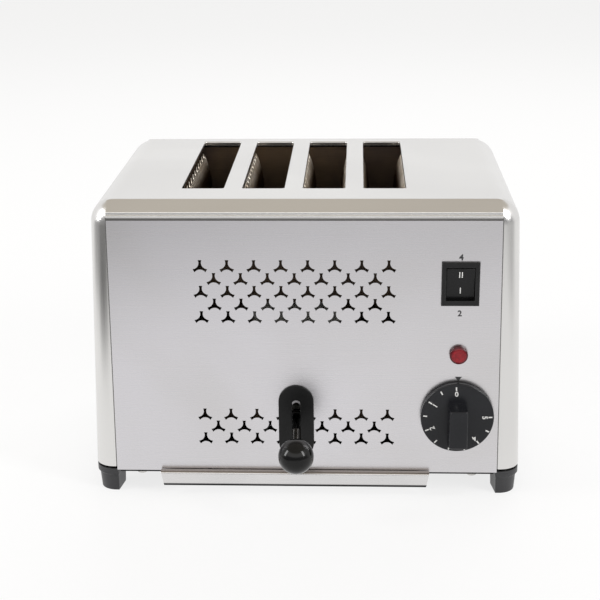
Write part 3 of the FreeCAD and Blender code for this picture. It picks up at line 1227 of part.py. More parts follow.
def build():
    front_right_foot = foot()
    right_guard = guard()
    front_plate = front_baffle()
    nodes = {
        "body_shell": body_shell(),
        "front_panel": front_panel(),
        "rear_panel": rear_panel(),
        "base_pan": base_pan(),
        "crumb_tray": crumb_tray(),
        "tray_runner_left": tray_runner(-1),
        "tray_runner_right": tray_runner(1),
        "foot_front_right": front_right_foot,
        "foot_front_left": mirror_x(front_right_foot),
        "foot_rear_right": mirror_depth(front_right_foot),
        "foot_rear_left": mirror_depth(mirror_x(front_right_foot)),
        "foot_fasteners": foot_fasteners(),
        "case_screws": case_screws(),
        "front_baffle": front_plate,
        "rear_baffle": rear_baffle(front_plate),
        "left_heat_shield": side_shield(SHIELD_LEFT, -1),
        "right_heat_shield": side_shield(SHIELD_RIGHT, 1),
        "carriage_front_plate": carriage_front_plate(),
        "carriage_rear_plate": carriage_rear_plate(),
        "slide_bushes": slide_bushes(),
        "guide_base_bracket": guide_base(),
        "guide_top_bracket": guide_top_bracket(),
        "guide_rod_left": guide_rod(GUIDE_XS[0]),
        "guide_rod_right": guide_rod(GUIDE_XS[1]),
        "return_spring_left": return_spring(GUIDE_XS[0]),
        "return_spring_right": return_spring(GUIDE_XS[1]),
        "lever_rod": lever_rod(),
        "lever_ball": lever_ball(),
        "lever_escutcheon": lever_escutcheon(),
        "armature": armature(),
        "electromagnet": electromagnet(),
        "switch_housing": switch_housing(),
        "switch_rocker": switch_rocker(),
        "switch_terminals": switch_terminals(),
        "lamp_lens": lamp_lens(),
        "lamp_body": lamp_body(),
        "timer_body": timer_body(),
        "timer_shaft": timer_shaft(),
        "timer_knob": timer_knob(),
        "terminal_block": terminal_block(),
        "cord_gland": cord_gland(),
        "internal_leads": internal_leads(),
    }
    for index, x in enumerate(SLOT_XS):
        nodes["wire_guards_%d" % (index + 1)] = wire_guards(x, right_guard)
        nodes["bread_rest_%d" % (index + 1)] = bread_rest(x)
    for index, x in enumerate(BOARD_XS):
        nodes["mica_board_%d" % (index + 1)] = mica_board(x)
        nodes["heating_ribbon_%d" % (index + 1)] = heating_ribbon(index)
    return nodes


def main():
    os.makedirs("parts", exist_ok=True)
    for name, shape in build().items():
        placed = shape.translated(V(0, FRONT_Y, 0))
        bounds = placed.BoundBox
        print("%-22s solids %2d  valid %s  x %7.1f %7.1f  y %7.1f %7.1f  z %6.1f %6.1f"
              % (name, len(placed.Solids), placed.isValid(), bounds.XMin, bounds.XMax, bounds.YMin,
                 bounds.YMax, bounds.ZMin, bounds.ZMax))
        placed.exportStep("parts/%s.step" % name)


main()
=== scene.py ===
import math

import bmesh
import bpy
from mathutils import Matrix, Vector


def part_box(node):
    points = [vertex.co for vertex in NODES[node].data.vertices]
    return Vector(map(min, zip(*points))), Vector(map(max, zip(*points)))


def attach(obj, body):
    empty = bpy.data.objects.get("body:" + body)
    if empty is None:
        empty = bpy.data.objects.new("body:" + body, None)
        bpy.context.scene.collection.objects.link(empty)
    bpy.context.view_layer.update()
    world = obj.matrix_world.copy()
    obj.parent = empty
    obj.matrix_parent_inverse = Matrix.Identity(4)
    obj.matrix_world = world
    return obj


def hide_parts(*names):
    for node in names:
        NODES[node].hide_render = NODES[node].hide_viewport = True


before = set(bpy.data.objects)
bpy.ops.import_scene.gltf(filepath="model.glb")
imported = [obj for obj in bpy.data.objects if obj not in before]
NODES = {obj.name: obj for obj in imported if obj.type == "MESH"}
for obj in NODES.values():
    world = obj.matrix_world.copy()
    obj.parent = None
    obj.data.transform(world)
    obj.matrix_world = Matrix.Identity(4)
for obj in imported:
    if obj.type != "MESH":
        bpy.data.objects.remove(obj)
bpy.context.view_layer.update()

# %% [markdown]
# # Dressing a four-slot toaster
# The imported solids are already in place, in metres, with +Z up and the front towards -Y.
# This lesson gives each of them a real finish, and builds finer pieces where a plain
# solid is too simple: the dial with its numbers, the threaded lever and its ball, the cover
# plate round it, the lamp cap and the printed marks.

MM = 0.001
PANEL_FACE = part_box("front_panel")[0].y


def at(x, depth, z):
    """A point in metres from millimetres: x from the middle, depth behind the front panel's face."""
    return Vector((x * MM, PANEL_FACE + depth * MM, z * MM))


# %% [markdown]
# ## The camera
# The photograph looks slightly down and a little to the left, from about 0.9 m away.
# A camera could be aimed with a constraint, but a matrix made from its own three axes
# says exactly where it looks, and keeps the small tilt that a hand-held picture has.

# %% Camera at the photograph's place
CAMERA_PITCH = math.radians(18.80)
CAMERA_YAW = math.radians(2.574)
CAMERA_ROLL = math.radians(-0.669)
CAMERA_PLACE = at(36.6, -876.6, 446.3)
CAMERA_LENS = 80.7
CAMERA_REACH = 50

camera_data = bpy.data.cameras.new("camera")
camera_data.sensor_width = 36
camera_data.sensor_fit = "HORIZONTAL"
camera_data.lens = CAMERA_LENS
camera_data.clip_end = CAMERA_REACH
camera = bpy.data.objects.new("camera", camera_data)
bpy.context.scene.collection.objects.link(camera)
ahead = Vector((-math.sin(CAMERA_YAW) * math.cos(CAMERA_PITCH),
                math.cos(CAMERA_YAW) * math.cos(CAMERA_PITCH), -math.sin(CAMERA_PITCH)))
level_right = ahead.cross(Vector((0, 0, 1))).normalized()
level_up = level_right.cross(ahead)
right = math.cos(CAMERA_ROLL) * level_right + math.sin(CAMERA_ROLL) * level_up
up = -math.sin(CAMERA_ROLL) * level_right + math.cos(CAMERA_ROLL) * level_up
turn = Matrix((right, up, -ahead)).transposed().to_4x4()
camera.matrix_world = Matrix.Translation(CAMERA_PLACE) @ turn
bpy.context.scene.camera = camera
bpy.context.scene.view_settings.view_transform = "Standard"
print("camera at", CAMERA_PLACE, "looking along", ahead)

# %% [markdown]
# ## Small helpers for nodes
# Every finish below is a node tree. Wiring each node by hand takes many lines, so short
# helpers add a node with its values, do a sum, make a soft step between two levels, or
# start a node group with named sockets.

# %% Node helpers


def node(tree, kind, inputs=None, **settings):
    """Adds a node, sets its properties, and sets or links its inputs."""
    made = tree.nodes.new(kind)
    for name, value in settings.items():
        setattr(made, name, value)
    for name, value in (inputs or {}).items():
        if isinstance(value, bpy.types.NodeSocket):
            tree.links.new(value, made.inputs[name])
        else:
            made.inputs[name].default_value = value
    return made


def effect(name, inputs, outputs):
    """A node group with named sockets, and its two end nodes."""
    group = bpy.data.node_groups.new(name, "ShaderNodeTree")
    for label, kind, value in inputs:
        socket = group.interface.new_socket(label, in_out="INPUT", socket_type=kind)
        socket.default_value = value
    for label, kind in outputs:
        group.interface.new_socket(label, in_out="OUTPUT", socket_type=kind)
    return group, group.nodes.new("NodeGroupInput"), group.nodes.new("NodeGroupOutput")


def use(tree, group, inputs=None):
    """Places a node group in a material's tree."""
    return node(tree, "ShaderNodeGroup", inputs, node_tree=group)


def maths(tree, operation, first, second):
    """A product, a sum or the like of two values or sockets."""
    return node(tree, "ShaderNodeMath", {0: first, 1: second}, operation=operation).outputs[0]


def step(tree, value, outside, inside, low=0.0, high=1.0, kind="SMOOTHSTEP"):
    """A step from low, where the value is at outside, to high, where it is at inside."""
    return node(tree, "ShaderNodeMapRange", {"Value": value, "From Min": outside, "From Max": inside,
                                             "To Min": low, "To Max": high},
                interpolation_type=kind).outputs[0]


def mix_colour(tree, share, first, second):
    """Mixes two colours; each argument is a value or a socket."""
    made = node(tree, "ShaderNodeMix", data_type="RGBA")
    for index, value in ((0, share), (6, first), (7, second)):
        if isinstance(value, bpy.types.NodeSocket):
            tree.links.new(value, made.inputs[index])
        elif index == 0:
            made.inputs[index].default_value = value
        else:
            made.inputs[index].default_value = (*value, 1)
    return made.outputs[2]


FLOAT, VECTOR = "NodeSocketFloat", "NodeSocketVector"
print("node helpers ready")

# %% [markdown]
# ## The studio
# Brushed steel has hardly any colour of its own: it shows the room. So the room is built
# with care: a white sweep all round, a dark band low in front where the unlit end of the
# room is, a bright screen above that band, which draws the light lines on the folds, and a
# warm grey ceiling that makes the bevel of the case read as a grey band. The lens itself
# sees plain white behind the toaster, and only reflections meet the dark band.

# %% Room light and white background
SWEEP = (1.0, 1.0, 1.0)
CEILING = (0.616, 0.571, 0.502)
CEILING_EDGE = (0.60, 0.74)
FRONT_SCREEN = (1.7, 1.68, 1.65)
SCREEN_EDGE = (0.28, 0.40)
FRONT_BAND = (0.30, 0.30, 0.31)
BAND_EDGE = (0.34, 0.20)
FRONT_EDGE = (0.05, -0.35)
ROOM_LIGHT = 0.62

world = bpy.data.worlds.new("studio")
bpy.context.scene.world = world
world.use_nodes = True
room = world.node_tree
room.nodes.clear()
direction = node(room, "ShaderNodeTexCoord")
axes = node(room, "ShaderNodeSeparateXYZ", {0: direction.outputs["Generated"]})
ray = node(room, "ShaderNodeLightPath")
in_front = step(room, axes.outputs["Y"], *FRONT_EDGE)
screen = maths(room, "MULTIPLY", step(room, axes.outputs["Z"], *SCREEN_EDGE), in_front)
band = maths(room, "MULTIPLY", step(room, axes.outputs["Z"], *BAND_EDGE), in_front)
band = maths(room, "MULTIPLY", band, ray.outputs["Is Glossy Ray"])
room_colour = mix_colour(room, screen, SWEEP, FRONT_SCREEN)
room_colour = mix_colour(room, step(room, axes.outputs["Z"], *CEILING_EDGE), room_colour, CEILING)
room_colour = mix_colour(room, band, room_colour, FRONT_BAND)
shown = maths(room, "MAXIMUM", ray.outputs["Is Camera Ray"], ray.outputs["Is Glossy Ray"])
shown = maths(room, "MAXIMUM", shown, ray.outputs["Is Transmission Ray"])
strength = step(room, shown, 0.0, 1.0, ROOM_LIGHT, 1.0, "LINEAR")
background = node(room, "ShaderNodeBackground", {"Color": room_colour, "Strength": strength})
node(room, "ShaderNodeOutputWorld", {"Surface": background.outputs[0]})
print("room light", ROOM_LIGHT)

# %% [markdown]
# ## The floor
# The toaster stands on a matt white sheet. Part of the sheet's look is light of its own, so
# it stays white to the lens and still takes the toaster's shadow. In a mirror the sheet also
# shows where it ends: it is dim in front and to the left, less so to the right, and nearly
# black in one spot before the left corner. These places draw the dark lines along the
# rounded front edges.

# %% Floor that stays white and keeps the shadow
FLOOR_HALF = 6.0
DIM_SPOT = (-0.66, -0.50, 0.0)
DIM_SPOT_EDGE = (0.46, 0.20)
DIM_SPOT_SHARE = 0.97
FAR_EDGE = (-1.0, -2.5)
FAR_SHARE = 0.7
DIM_PATCHES = [((-0.52, -0.64), (0.05, -0.60), (0.25, 0.66)),
               ((0.38, -0.12), (-0.58, -0.72), (0.0, 0.76)),
               ((0.08, -0.25), (0.50, 0.70), (0.0, 0.50))]
LENS_SHARE = 0.78
MIRROR_SHARE = 0.9
GLASS_SHARE = 0.6


def floor_finish():
    """A matt white sheet, mostly plain white to the camera; reflections see it end and turn dim."""
    material = bpy.data.materials.new("white_sweep")
    material.use_nodes = True
    tree = material.node_tree
    matt = tree.nodes["Principled BSDF"]
    matt.inputs["Base Color"].default_value = (0.90, 0.90, 0.90, 1)
    matt.inputs["Roughness"].default_value = 0.9
    matt.inputs["Specular IOR Level"].default_value = 0.1
    path = node(tree, "ShaderNodeLightPath")
    spot = node(tree, "ShaderNodeTexCoord")
    place = node(tree, "ShaderNodeSeparateXYZ", {0: spot.outputs["Object"]})
    away = node(tree, "ShaderNodeVectorMath", {0: spot.outputs["Object"], 1: DIM_SPOT},
                operation="DISTANCE")
    dim = step(tree, away.outputs["Value"], *DIM_SPOT_EDGE, 0.0, DIM_SPOT_SHARE)
    dim = maths(tree, "MAXIMUM", dim, step(tree, place.outputs["Y"], *FAR_EDGE, 0.0, FAR_SHARE))
    for depth_edge, side_edge, shares in DIM_PATCHES:
        patch = maths(tree, "MULTIPLY", step(tree, place.outputs["Y"], *depth_edge),
                      step(tree, place.outputs["X"], *side_edge, *shares))
        dim = maths(tree, "MAXIMUM", dim, patch)
    dim = maths(tree, "MULTIPLY", dim, path.outputs["Is Glossy Ray"])
    glow = node(tree, "ShaderNodeEmission", {"Color": (1, 1, 1, 1),
                                             "Strength": maths(tree, "SUBTRACT", 1.0, dim)})
    share = maths(tree, "MULTIPLY", path.outputs["Is Camera Ray"], LENS_SHARE)
    for kind, part in (("Is Glossy Ray", MIRROR_SHARE), ("Is Transmission Ray", GLASS_SHARE)):
        share = maths(tree, "ADD", share, maths(tree, "MULTIPLY", path.outputs[kind], part))
    both = node(tree, "ShaderNodeMixShader", {0: share, 1: matt.outputs[0], 2: glow.outputs[0]})
    tree.links.new(both.outputs[0], tree.nodes["Material Output"].inputs["Surface"])
    return material


floor_mesh = bpy.data.meshes.new("floor")
floor_mesh.from_pydata([(-FLOOR_HALF, -FLOOR_HALF, 0), (FLOOR_HALF, -FLOOR_HALF, 0),
                        (FLOOR_HALF, FLOOR_HALF, 0), (-FLOOR_HALF, FLOOR_HALF, 0)], [], [(0, 1, 2, 3)])
floor = bpy.data.objects.new("floor", floor_mesh)
bpy.context.scene.collection.objects.link(floor)
floor.data.materials.append(floor_finish())
print("floor", 2 * FLOOR_HALF, "m across")

# %% [markdown]
# ## The lamps
# Two tall soft boxes stand left and right of the lens and are the two bright spots on the
# black ball. A third one behind lights the top and the slots; it is hidden from mirrors,
# because its reflection would draw a bright line along the fold.

# %% Soft boxes
SOFT_BOX_AIM = Vector((0, 0, 0.1))


def soft_box(name, place, width, height, power):
    """An area lamp that faces the toaster, as a studio soft box does."""
    data = bpy.data.lights.new(name, "AREA")
    data.shape = "RECTANGLE"
    data.size, data.size_y, data.energy = width, height, power
    lamp = bpy.data.objects.new(name, data)
    bpy.context.scene.collection.objects.link(lamp)
    lamp.location = place
    lamp.rotation_mode = "QUATERNION"
    lamp.rotation_quaternion = (SOFT_BOX_AIM - Vector(place)).to_track_quat("-Z", "Y")
    return lamp


soft_box("left_box", (-1.45, -0.45, 0.75), 0.35, 0.9, 11)
soft_box("right_box", (1.25, -0.85, 0.95), 0.35, 0.9, 11)
back_box = soft_box("back_box", (0.2, 1.3, 1.5), 1.6, 0.8, 14)
back_box.visible_glossy = False
print("three soft boxes placed")

# %% [markdown]
# ## Effects that many finishes share
# Rolled and brushed sheet, moulded plastic and handled edges appear all over the toaster.
# Each effect is one node group, built once, so a change to the grain changes it everywhere.
# Noise that is stretched along one axis makes brush lines without any picture file.

# %% Brush lines in sheet metal
BRUSHED, given, result = effect(
    "brushed_lines",
    [("Lines", VECTOR, (30, 30, 3000)), ("Depth", FLOAT, 0.01)],
    [("Lines", FLOAT), ("Normal", VECTOR)])
place = node(BRUSHED, "ShaderNodeTexCoord")
stretched = node(BRUSHED, "ShaderNodeVectorMath", {0: place.outputs["Object"], 1: given.outputs["Lines"]},
                 operation="MULTIPLY")
fine = node(BRUSHED, "ShaderNodeTexNoise", {"Vector": stretched.outputs[0], "Scale": 1.0, "Detail": 4.0,
                                            "Roughness": 0.62})
height = maths(BRUSHED, "MULTIPLY", given.outputs["Depth"], MM)
bump = node(BRUSHED, "ShaderNodeBump", {"Height": fine.outputs[0], "Distance": height})
BRUSHED.links.new(fine.outputs[0], result.inputs["Lines"])
BRUSHED.links.new(bump.outputs[0], result.inputs["Normal"])
print("effect", BRUSHED.name)

# %% Soft patches where a sheet was wiped and handled
PATCHES, given, result = effect("wiped_patches", [("Size", FLOAT, 9.0), ("Softness", FLOAT, 0.2)],
                                [("Mask", FLOAT)])
place = node(PATCHES, "ShaderNodeTexCoord")
cloud = node(PATCHES, "ShaderNodeTexNoise", {"Vector": place.outputs["Object"],
                                             "Scale": given.outputs["Size"], "Detail": 2.5,
                                             "Roughness": 0.5, "Distortion": 0.7})
thin = maths(PATCHES, "SUBTRACT", 0.5, given.outputs["Softness"])
thick = maths(PATCHES, "ADD", 0.5, given.outputs["Softness"])
PATCHES.links.new(step(PATCHES, cloud.outputs[0], thin, thick), result.inputs["Mask"])
print("effect", PATCHES.name)

# %% Edges that handling has polished, with a painted highlight on the knob's edges
EDGE_WEAR_AND_HIGHLIGHT, given, result = effect("edge_wear_and_highlight", [("Width", FLOAT, 0.5 * MM), ("Amount", FLOAT, 1.0)],
                             [("Mask", FLOAT)])
rounded = node(EDGE_WEAR_AND_HIGHLIGHT, "ShaderNodeBevel", {"Radius": given.outputs["Width"]}, samples=4)
facing = node(EDGE_WEAR_AND_HIGHLIGHT, "ShaderNodeNewGeometry")
alike = node(EDGE_WEAR_AND_HIGHLIGHT, "ShaderNodeVectorMath", {0: rounded.outputs[0], 1: facing.outputs["Normal"]},
             operation="DOT_PRODUCT")
bent = step(EDGE_WEAR_AND_HIGHLIGHT, alike.outputs["Value"], 0.995, 0.86, kind="LINEAR")
place = node(EDGE_WEAR_AND_HIGHLIGHT, "ShaderNodeTexCoord")
chips = node(EDGE_WEAR_AND_HIGHLIGHT, "ShaderNodeTexNoise", {"Vector": place.outputs["Object"], "Scale": 240.0, "Detail": 3.0})
broken = step(EDGE_WEAR_AND_HIGHLIGHT, chips.outputs[0], 0.35, 0.6, kind="LINEAR")
mask = maths(EDGE_WEAR_AND_HIGHLIGHT, "MULTIPLY", maths(EDGE_WEAR_AND_HIGHLIGHT, "MULTIPLY", bent, broken), given.outputs["Amount"])
EDGE_WEAR_AND_HIGHLIGHT.links.new(mask, result.inputs["Mask"])
print("effect", EDGE_WEAR_AND_HIGHLIGHT.name)

# %% Skin of moulded plastic and cast ceramic
MOULDED, given, result = effect("moulded_skin", [("Size", FLOAT, 1500.0), ("Depth", FLOAT, 0.01)],
                                [("Grain", FLOAT), ("Normal", VECTOR)])
place = node(MOULDED, "ShaderNodeTexCoord")
pits = node(MOULDED, "ShaderNodeTexNoise", {"Vector": place.outputs["Object"],
                                            "Scale": given.outputs["Size"], "Detail": 2.0})
height = maths(MOULDED, "MULTIPLY", given.outputs["Depth"], MM)
bump = node(MOULDED, "ShaderNodeBump", {"Height": pits.outputs[0], "Distance": height})
MOULDED.links.new(pits.outputs[0], result.inputs["Grain"])
MOULDED.links.new(bump.outputs[0], result.inputs["Normal"])
print("effect", MOULDED.name)

# %% Dust and crumbs that settle on what faces up
DUST, given, result = effect("settled_dust", [("Amount", FLOAT, 0.3)], [("Mask", FLOAT)])
facing = node(DUST, "ShaderNodeNewGeometry")
upward = node(DUST, "ShaderNodeSeparateXYZ", {0: facing.outputs["Normal"]})
settled = step(DUST, upward.outputs["Z"], 0.5, 1.0, kind="LINEAR")
place = node(DUST, "ShaderNodeTexCoord")
specks = node(DUST, "ShaderNodeTexNoise", {"Vector": place.outputs["Object"], "Scale": 900.0,
                                           "Detail": 4.0})
grains = step(DUST, specks.outputs[0], 0.52, 0.66, kind="LINEAR")
mask = maths(DUST, "MULTIPLY", maths(DUST, "MULTIPLY", settled, grains), given.outputs["Amount"])
DUST.links.new(mask, result.inputs["Mask"])
print("effect", DUST.name)

# %% [markdown]
# ## Where a point lies
# Painted shade and a painted reflection keep to certain places: inside a joint, under and on
# the tray's lip, behind a slot; a brown tone lies low in the bread slots. This effect gives a
# point's depth, its height and how far it is past the slanted seam between the front panel
# and the wrap, so that a finish can be given a zone in millimetres.

# %% Where a point of the toaster lies, in millimetres
SEAM_HALF = 136.9
SEAM_LEAN = 0.01178
PLACE, _, result = effect("place_in_mm", [],
                          [("Past seam", FLOAT), ("Depth", FLOAT), ("Height", FLOAT)])
spot = node(PLACE, "ShaderNodeTexCoord")
apart = node(PLACE, "ShaderNodeVectorMath", {0: spot.outputs["Object"], 1: (0, PANEL_FACE, 0)},
             operation="SUBTRACT")
scaled = node(PLACE, "ShaderNodeVectorMath", {0: apart.outputs[0], 1: (1 / MM, 1 / MM, 1 / MM)},
              operation="MULTIPLY")
parts = node(PLACE, "ShaderNodeSeparateXYZ", {0: scaled.outputs[0]})
across = node(PLACE, "ShaderNodeMath", {0: parts.outputs["X"]}, operation="ABSOLUTE")
leaned = node(PLACE, "ShaderNodeMath", {0: parts.outputs["Z"], 1: SEAM_LEAN, 2: across.outputs[0]},
              operation="MULTIPLY_ADD")
PLACE.links.new(maths(PLACE, "SUBTRACT", leaned.outputs[0], SEAM_HALF), result.inputs["Past seam"])
PLACE.links.new(parts.outputs["Y"], result.inputs["Depth"])
PLACE.links.new(parts.outputs["Z"], result.inputs["Height"])
print("effect", PLACE.name)

# %% [markdown]
# ## Finishes
# A finish is a Principled shader fed by the effects. Two makers cover nearly all of the
# toaster: one for sheet, rod and wire, and one for moulded, fired or painted parts.
# Numbers that are the same all over a surface are set on the shader itself.

# %% Makers of finishes
FINISHES = {}
CRUMB_BROWN = (0.20, 0.13, 0.07)
DUST_GREY = (0.30, 0.28, 0.25)


def new_finish(name):
    """An empty finish with its tree and its shader."""
    material = bpy.data.materials.new(name)
    material.use_nodes = True
    FINISHES[name] = material
    return material.node_tree, material.node_tree.nodes["Principled BSDF"]


def spread(tree, value, low, high):
    """A value from 0 to 1, spread between two levels."""
    return step(tree, value, 0.0, 1.0, low, high, "LINEAR")


def zone(tree, limits):
    """A mask that is 1 where every (measure, outside, inside) limit is met, and 0 outside."""
    place = use(tree, PLACE)
    mask = None
    for measure, outside, inside in limits:
        share = step(tree, place.outputs[measure], outside, inside, kind="LINEAR")
        mask = share if mask is None else maths(tree, "MULTIPLY", mask, share)
    return mask


def metal(name, light, dark, lines, depth, roughness, patch_size=9.0, edge=None, dust=0.0, streak=0.10,
          zones=(), wear=0.7):
    """Sheet or bar metal: brush lines, soft patches, edges polished by use, and toned zones, most of them
    painted shade.
    """
    tree, shader = new_finish(name)
    grain = use(tree, BRUSHED, {"Lines": lines, "Depth": depth})
    patch = use(tree, PATCHES, {"Size": patch_size, "Softness": 0.22})
    colour = mix_colour(tree, patch.outputs["Mask"], light, dark)
    line_tone = spread(tree, grain.outputs["Lines"], 1 - streak, 1 + streak)
    toned = node(tree, "ShaderNodeVectorMath", {0: colour, 1: line_tone}, operation="MULTIPLY")
    colour = toned.outputs[0]
    if edge:
        rubbed = use(tree, EDGE_WEAR_AND_HIGHLIGHT, {"Width": 0.45 * MM, "Amount": wear})
        colour = mix_colour(tree, rubbed.outputs["Mask"], colour, edge)
    for tone, limits in zones:
        colour = mix_colour(tree, zone(tree, limits), colour, tone)
    if dust:
        film = use(tree, DUST, {"Amount": dust})
        colour = mix_colour(tree, film.outputs["Mask"], colour, CRUMB_BROWN)
        metallic = spread(tree, film.outputs["Mask"], 1.0, 0.1)
        tree.links.new(metallic, shader.inputs["Metallic"])
    else:
        shader.inputs["Metallic"].default_value = 1.0
    tree.links.new(colour, shader.inputs["Base Color"])
    tree.links.new(spread(tree, grain.outputs["Lines"], roughness - 0.07, roughness + 0.07),
                   shader.inputs["Roughness"])
    tree.links.new(grain.outputs["Normal"], shader.inputs["Normal"])


def moulded(name, light, dark, roughness, size=1500.0, depth=0.01, edge=None, coat=0.0, dust=0.0,
            specular=0.5):
    """A moulded or fired part: a fine skin, slightly uneven colour and rubbed edges, which on the knob are
    also a painted highlight.
    """
    tree, shader = new_finish(name)
    skin = use(tree, MOULDED, {"Size": size, "Depth": depth})
    patch = use(tree, PATCHES, {"Size": 35.0, "Softness": 0.25})
    colour = mix_colour(tree, patch.outputs["Mask"], light, dark)
    if edge:
        # Rubbed edges; on the knob this light edge tone is also a painted highlight.
        wear = use(tree, EDGE_WEAR_AND_HIGHLIGHT, {"Width": 0.35 * MM, "Amount": 0.6})
        colour = mix_colour(tree, wear.outputs["Mask"], colour, edge)
    if dust:
        film = use(tree, DUST, {"Amount": dust})
        colour = mix_colour(tree, film.outputs["Mask"], colour, DUST_GREY)
    tree.links.new(colour, shader.inputs["Base Color"])
    tree.links.new(spread(tree, skin.outputs["Grain"], roughness - 0.05, roughness + 0.08),
                   shader.inputs["Roughness"])
    tree.links.new(skin.outputs["Normal"], shader.inputs["Normal"])
    shader.inputs["Specular IOR Level"].default_value = specular
    shader.inputs["Coat Weight"].default_value = coat
    shader.inputs["Coat Roughness"].default_value = 0.04


print("makers ready")

# %% [markdown]
# ## Steel of the case
# The case is brushed stainless sheet. The wrap's brush lines run over the top and down the
# sides, so its noise is fine along the depth only; the panels' lines run across, so theirs
# is fine along the height. Inside the opening for the panel little light gets in, so the
# wrap has painted shade there. The front panel has painted shade behind its face, and the
# tray has painted shade under its lip and a painted dark reflection on top of it.

# %% Case steels
# Painted shade inside the wrap's opening for the panel, and behind the front panel's face.
OPENING_SHADE = [("Depth", 0.35, 0.6), ("Height", 206.1, 205.9), ("Past seam", 0.7, 0.5)]
PANEL_BACK_SHADE = [("Depth", 0.2, 0.5), ("Depth", 150.0, 100.0)]
# On the tray's lip: a black band of painted shade along its lower bend, and a painted dark reflection on
# top.
SHADE_UNDER_LIP = [("Height", 10.2, 9.4), ("Depth", -1.5, -2.5)]
DARK_REFLECTION_ON_LIP = [("Height", 17.6, 18.4), ("Depth", -6.0, -5.0)]
metal("stainless_wrap", (0.745, 0.735, 0.720), (0.690, 0.680, 0.668), (16, 2600, 16), 0.005, 0.24,
      patch_size=6.0, edge=(0.84, 0.84, 0.84), streak=0.02, zones=[((0.20, 0.195, 0.19), OPENING_SHADE)])
metal("stainless_panel", (0.675, 0.660, 0.685), (0.615, 0.600, 0.605), (10, 40, 2200), 0.0045, 0.28,
      patch_size=6.5, edge=(0.80, 0.80, 0.81), streak=0.02, zones=[((0.34, 0.33, 0.335), PANEL_BACK_SHADE)])
metal("stainless_tray", (0.72, 0.705, 0.70), (0.66, 0.65, 0.65), (14, 60, 2600), 0.005, 0.27,
      patch_size=12.0, edge=(0.85, 0.85, 0.85), streak=0.03,
      zones=[((0.02, 0.02, 0.02), SHADE_UNDER_LIP), ((0.30, 0.27, 0.25), DARK_REFLECTION_ON_LIP)])
print("steels of the case:", list(FINISHES))

# %% [markdown]
# ## Metals inside and underneath
# Plated brackets are a little yellow and cloudy, sheets near the ribbons are stained
# brown by heat, and rods and screws are bright. Two of them get zones as well: the plated
# arm has painted shade where it shows through the lever's slot, and the wire guards turn
# brown lower in the bread slots. The same maker makes them all.

# %% Other metals
# Painted shade: the plated arm is nearly black where it shows through the lever's slot.
SLOT_SHADE = [("Depth", 0.3, 0.8), ("Depth", 9.0, 8.0), ("Height", 65.0, 64.5)]
LOW_IN_THE_SLOT = [("Height", 203.0, 194.0)]
metal("zinc_plated_steel", (0.60, 0.60, 0.58), (0.48, 0.48, 0.45), (220, 220, 220), 0.01, 0.38,
      patch_size=60.0, edge=(0.75, 0.75, 0.74), dust=0.2,
      zones=[((0.02, 0.02, 0.02), SLOT_SHADE)])
metal("heat_stained_steel", (0.24, 0.17, 0.11), (0.13, 0.10, 0.085), (60, 60, 900), 0.01, 0.42,
      patch_size=22.0, dust=0.35, streak=0.2)
metal("screw_steel", (0.62, 0.61, 0.59), (0.50, 0.49, 0.47), (500, 500, 500), 0.01, 0.33,
      patch_size=200.0, edge=(0.8, 0.8, 0.8))
metal("polished_rod", (0.68, 0.68, 0.68), (0.60, 0.60, 0.60), (2200, 2200, 40), 0.004, 0.18,
      patch_size=40.0)
metal("spring_steel", (0.40, 0.40, 0.41), (0.30, 0.30, 0.31), (900, 900, 900), 0.006, 0.30,
      patch_size=90.0)
metal("guard_wire", (0.68, 0.63, 0.56), (0.50, 0.42, 0.33), (900, 900, 60), 0.006, 0.30,
      patch_size=45.0, streak=0.15, zones=[((0.10, 0.062, 0.038), LOW_IN_THE_SLOT)])
metal("black_oxide_steel", (0.012, 0.012, 0.012), (0.022, 0.021, 0.020), (1600, 1600, 1600), 0.01, 0.20,
      patch_size=160.0, edge=(0.30, 0.29, 0.28), wear=0.22)
metal("brass_blade", (0.72, 0.55, 0.28), (0.58, 0.42, 0.20), (60, 60, 1400), 0.008, 0.30,
      patch_size=80.0)
metal("coil_copper", (0.55, 0.22, 0.09), (0.40, 0.15, 0.06), (40, 2400, 40), 0.05, 0.34,
      patch_size=90.0, streak=0.3)
metal("heating_alloy", (0.30, 0.27, 0.25), (0.20, 0.16, 0.15), (60, 60, 2200), 0.01, 0.40,
      patch_size=60.0)
print(len(FINISHES), "metals")

# %% [markdown]
# ## Plastics, enamel and ceramic
# The black parts differ: the feet and the switch are matt, the dial and the cover plate are
# satin, and the lever's ball is cast and polished, so it gets a thin clear coat.

# %% Moulded and fired finishes
moulded("black_plastic", (0.020, 0.020, 0.022), (0.028, 0.028, 0.030), 0.42, size=1400.0, depth=0.012,
        edge=(0.07, 0.07, 0.075), dust=0.10)
# The knob's light edge tone is partly rubbed wear and partly a painted highlight on the grip bar's edges.
moulded("knob_plastic", (0.0085, 0.009, 0.011), (0.012, 0.0125, 0.015), 0.24, size=1800.0, depth=0.004,
        edge=(0.16, 0.16, 0.165), specular=0.27)
moulded("plate_plastic", (0.0055, 0.0056, 0.0058), (0.0075, 0.0075, 0.0075), 0.28, size=1400.0,
        depth=0.006, edge=(0.06, 0.06, 0.06), specular=0.20)
moulded("switch_plastic", (0.0085, 0.0085, 0.009), (0.012, 0.012, 0.0125), 0.38, size=1400.0, depth=0.010,
        edge=(0.08, 0.08, 0.08), specular=0.25)
moulded("rocker_plastic", (0.005, 0.005, 0.0055), (0.0075, 0.0075, 0.008), 0.25, size=2200.0, depth=0.004,
        edge=(0.10, 0.10, 0.10), specular=0.24)
moulded("gloss_black_plastic", (0.0035, 0.0035, 0.0035), (0.006, 0.006, 0.0055), 0.12, size=260.0,
        depth=0.008, coat=0.12, specular=0.20)
moulded("white_plastic", (0.72, 0.71, 0.68), (0.66, 0.65, 0.61), 0.42, size=1200.0, depth=0.01)
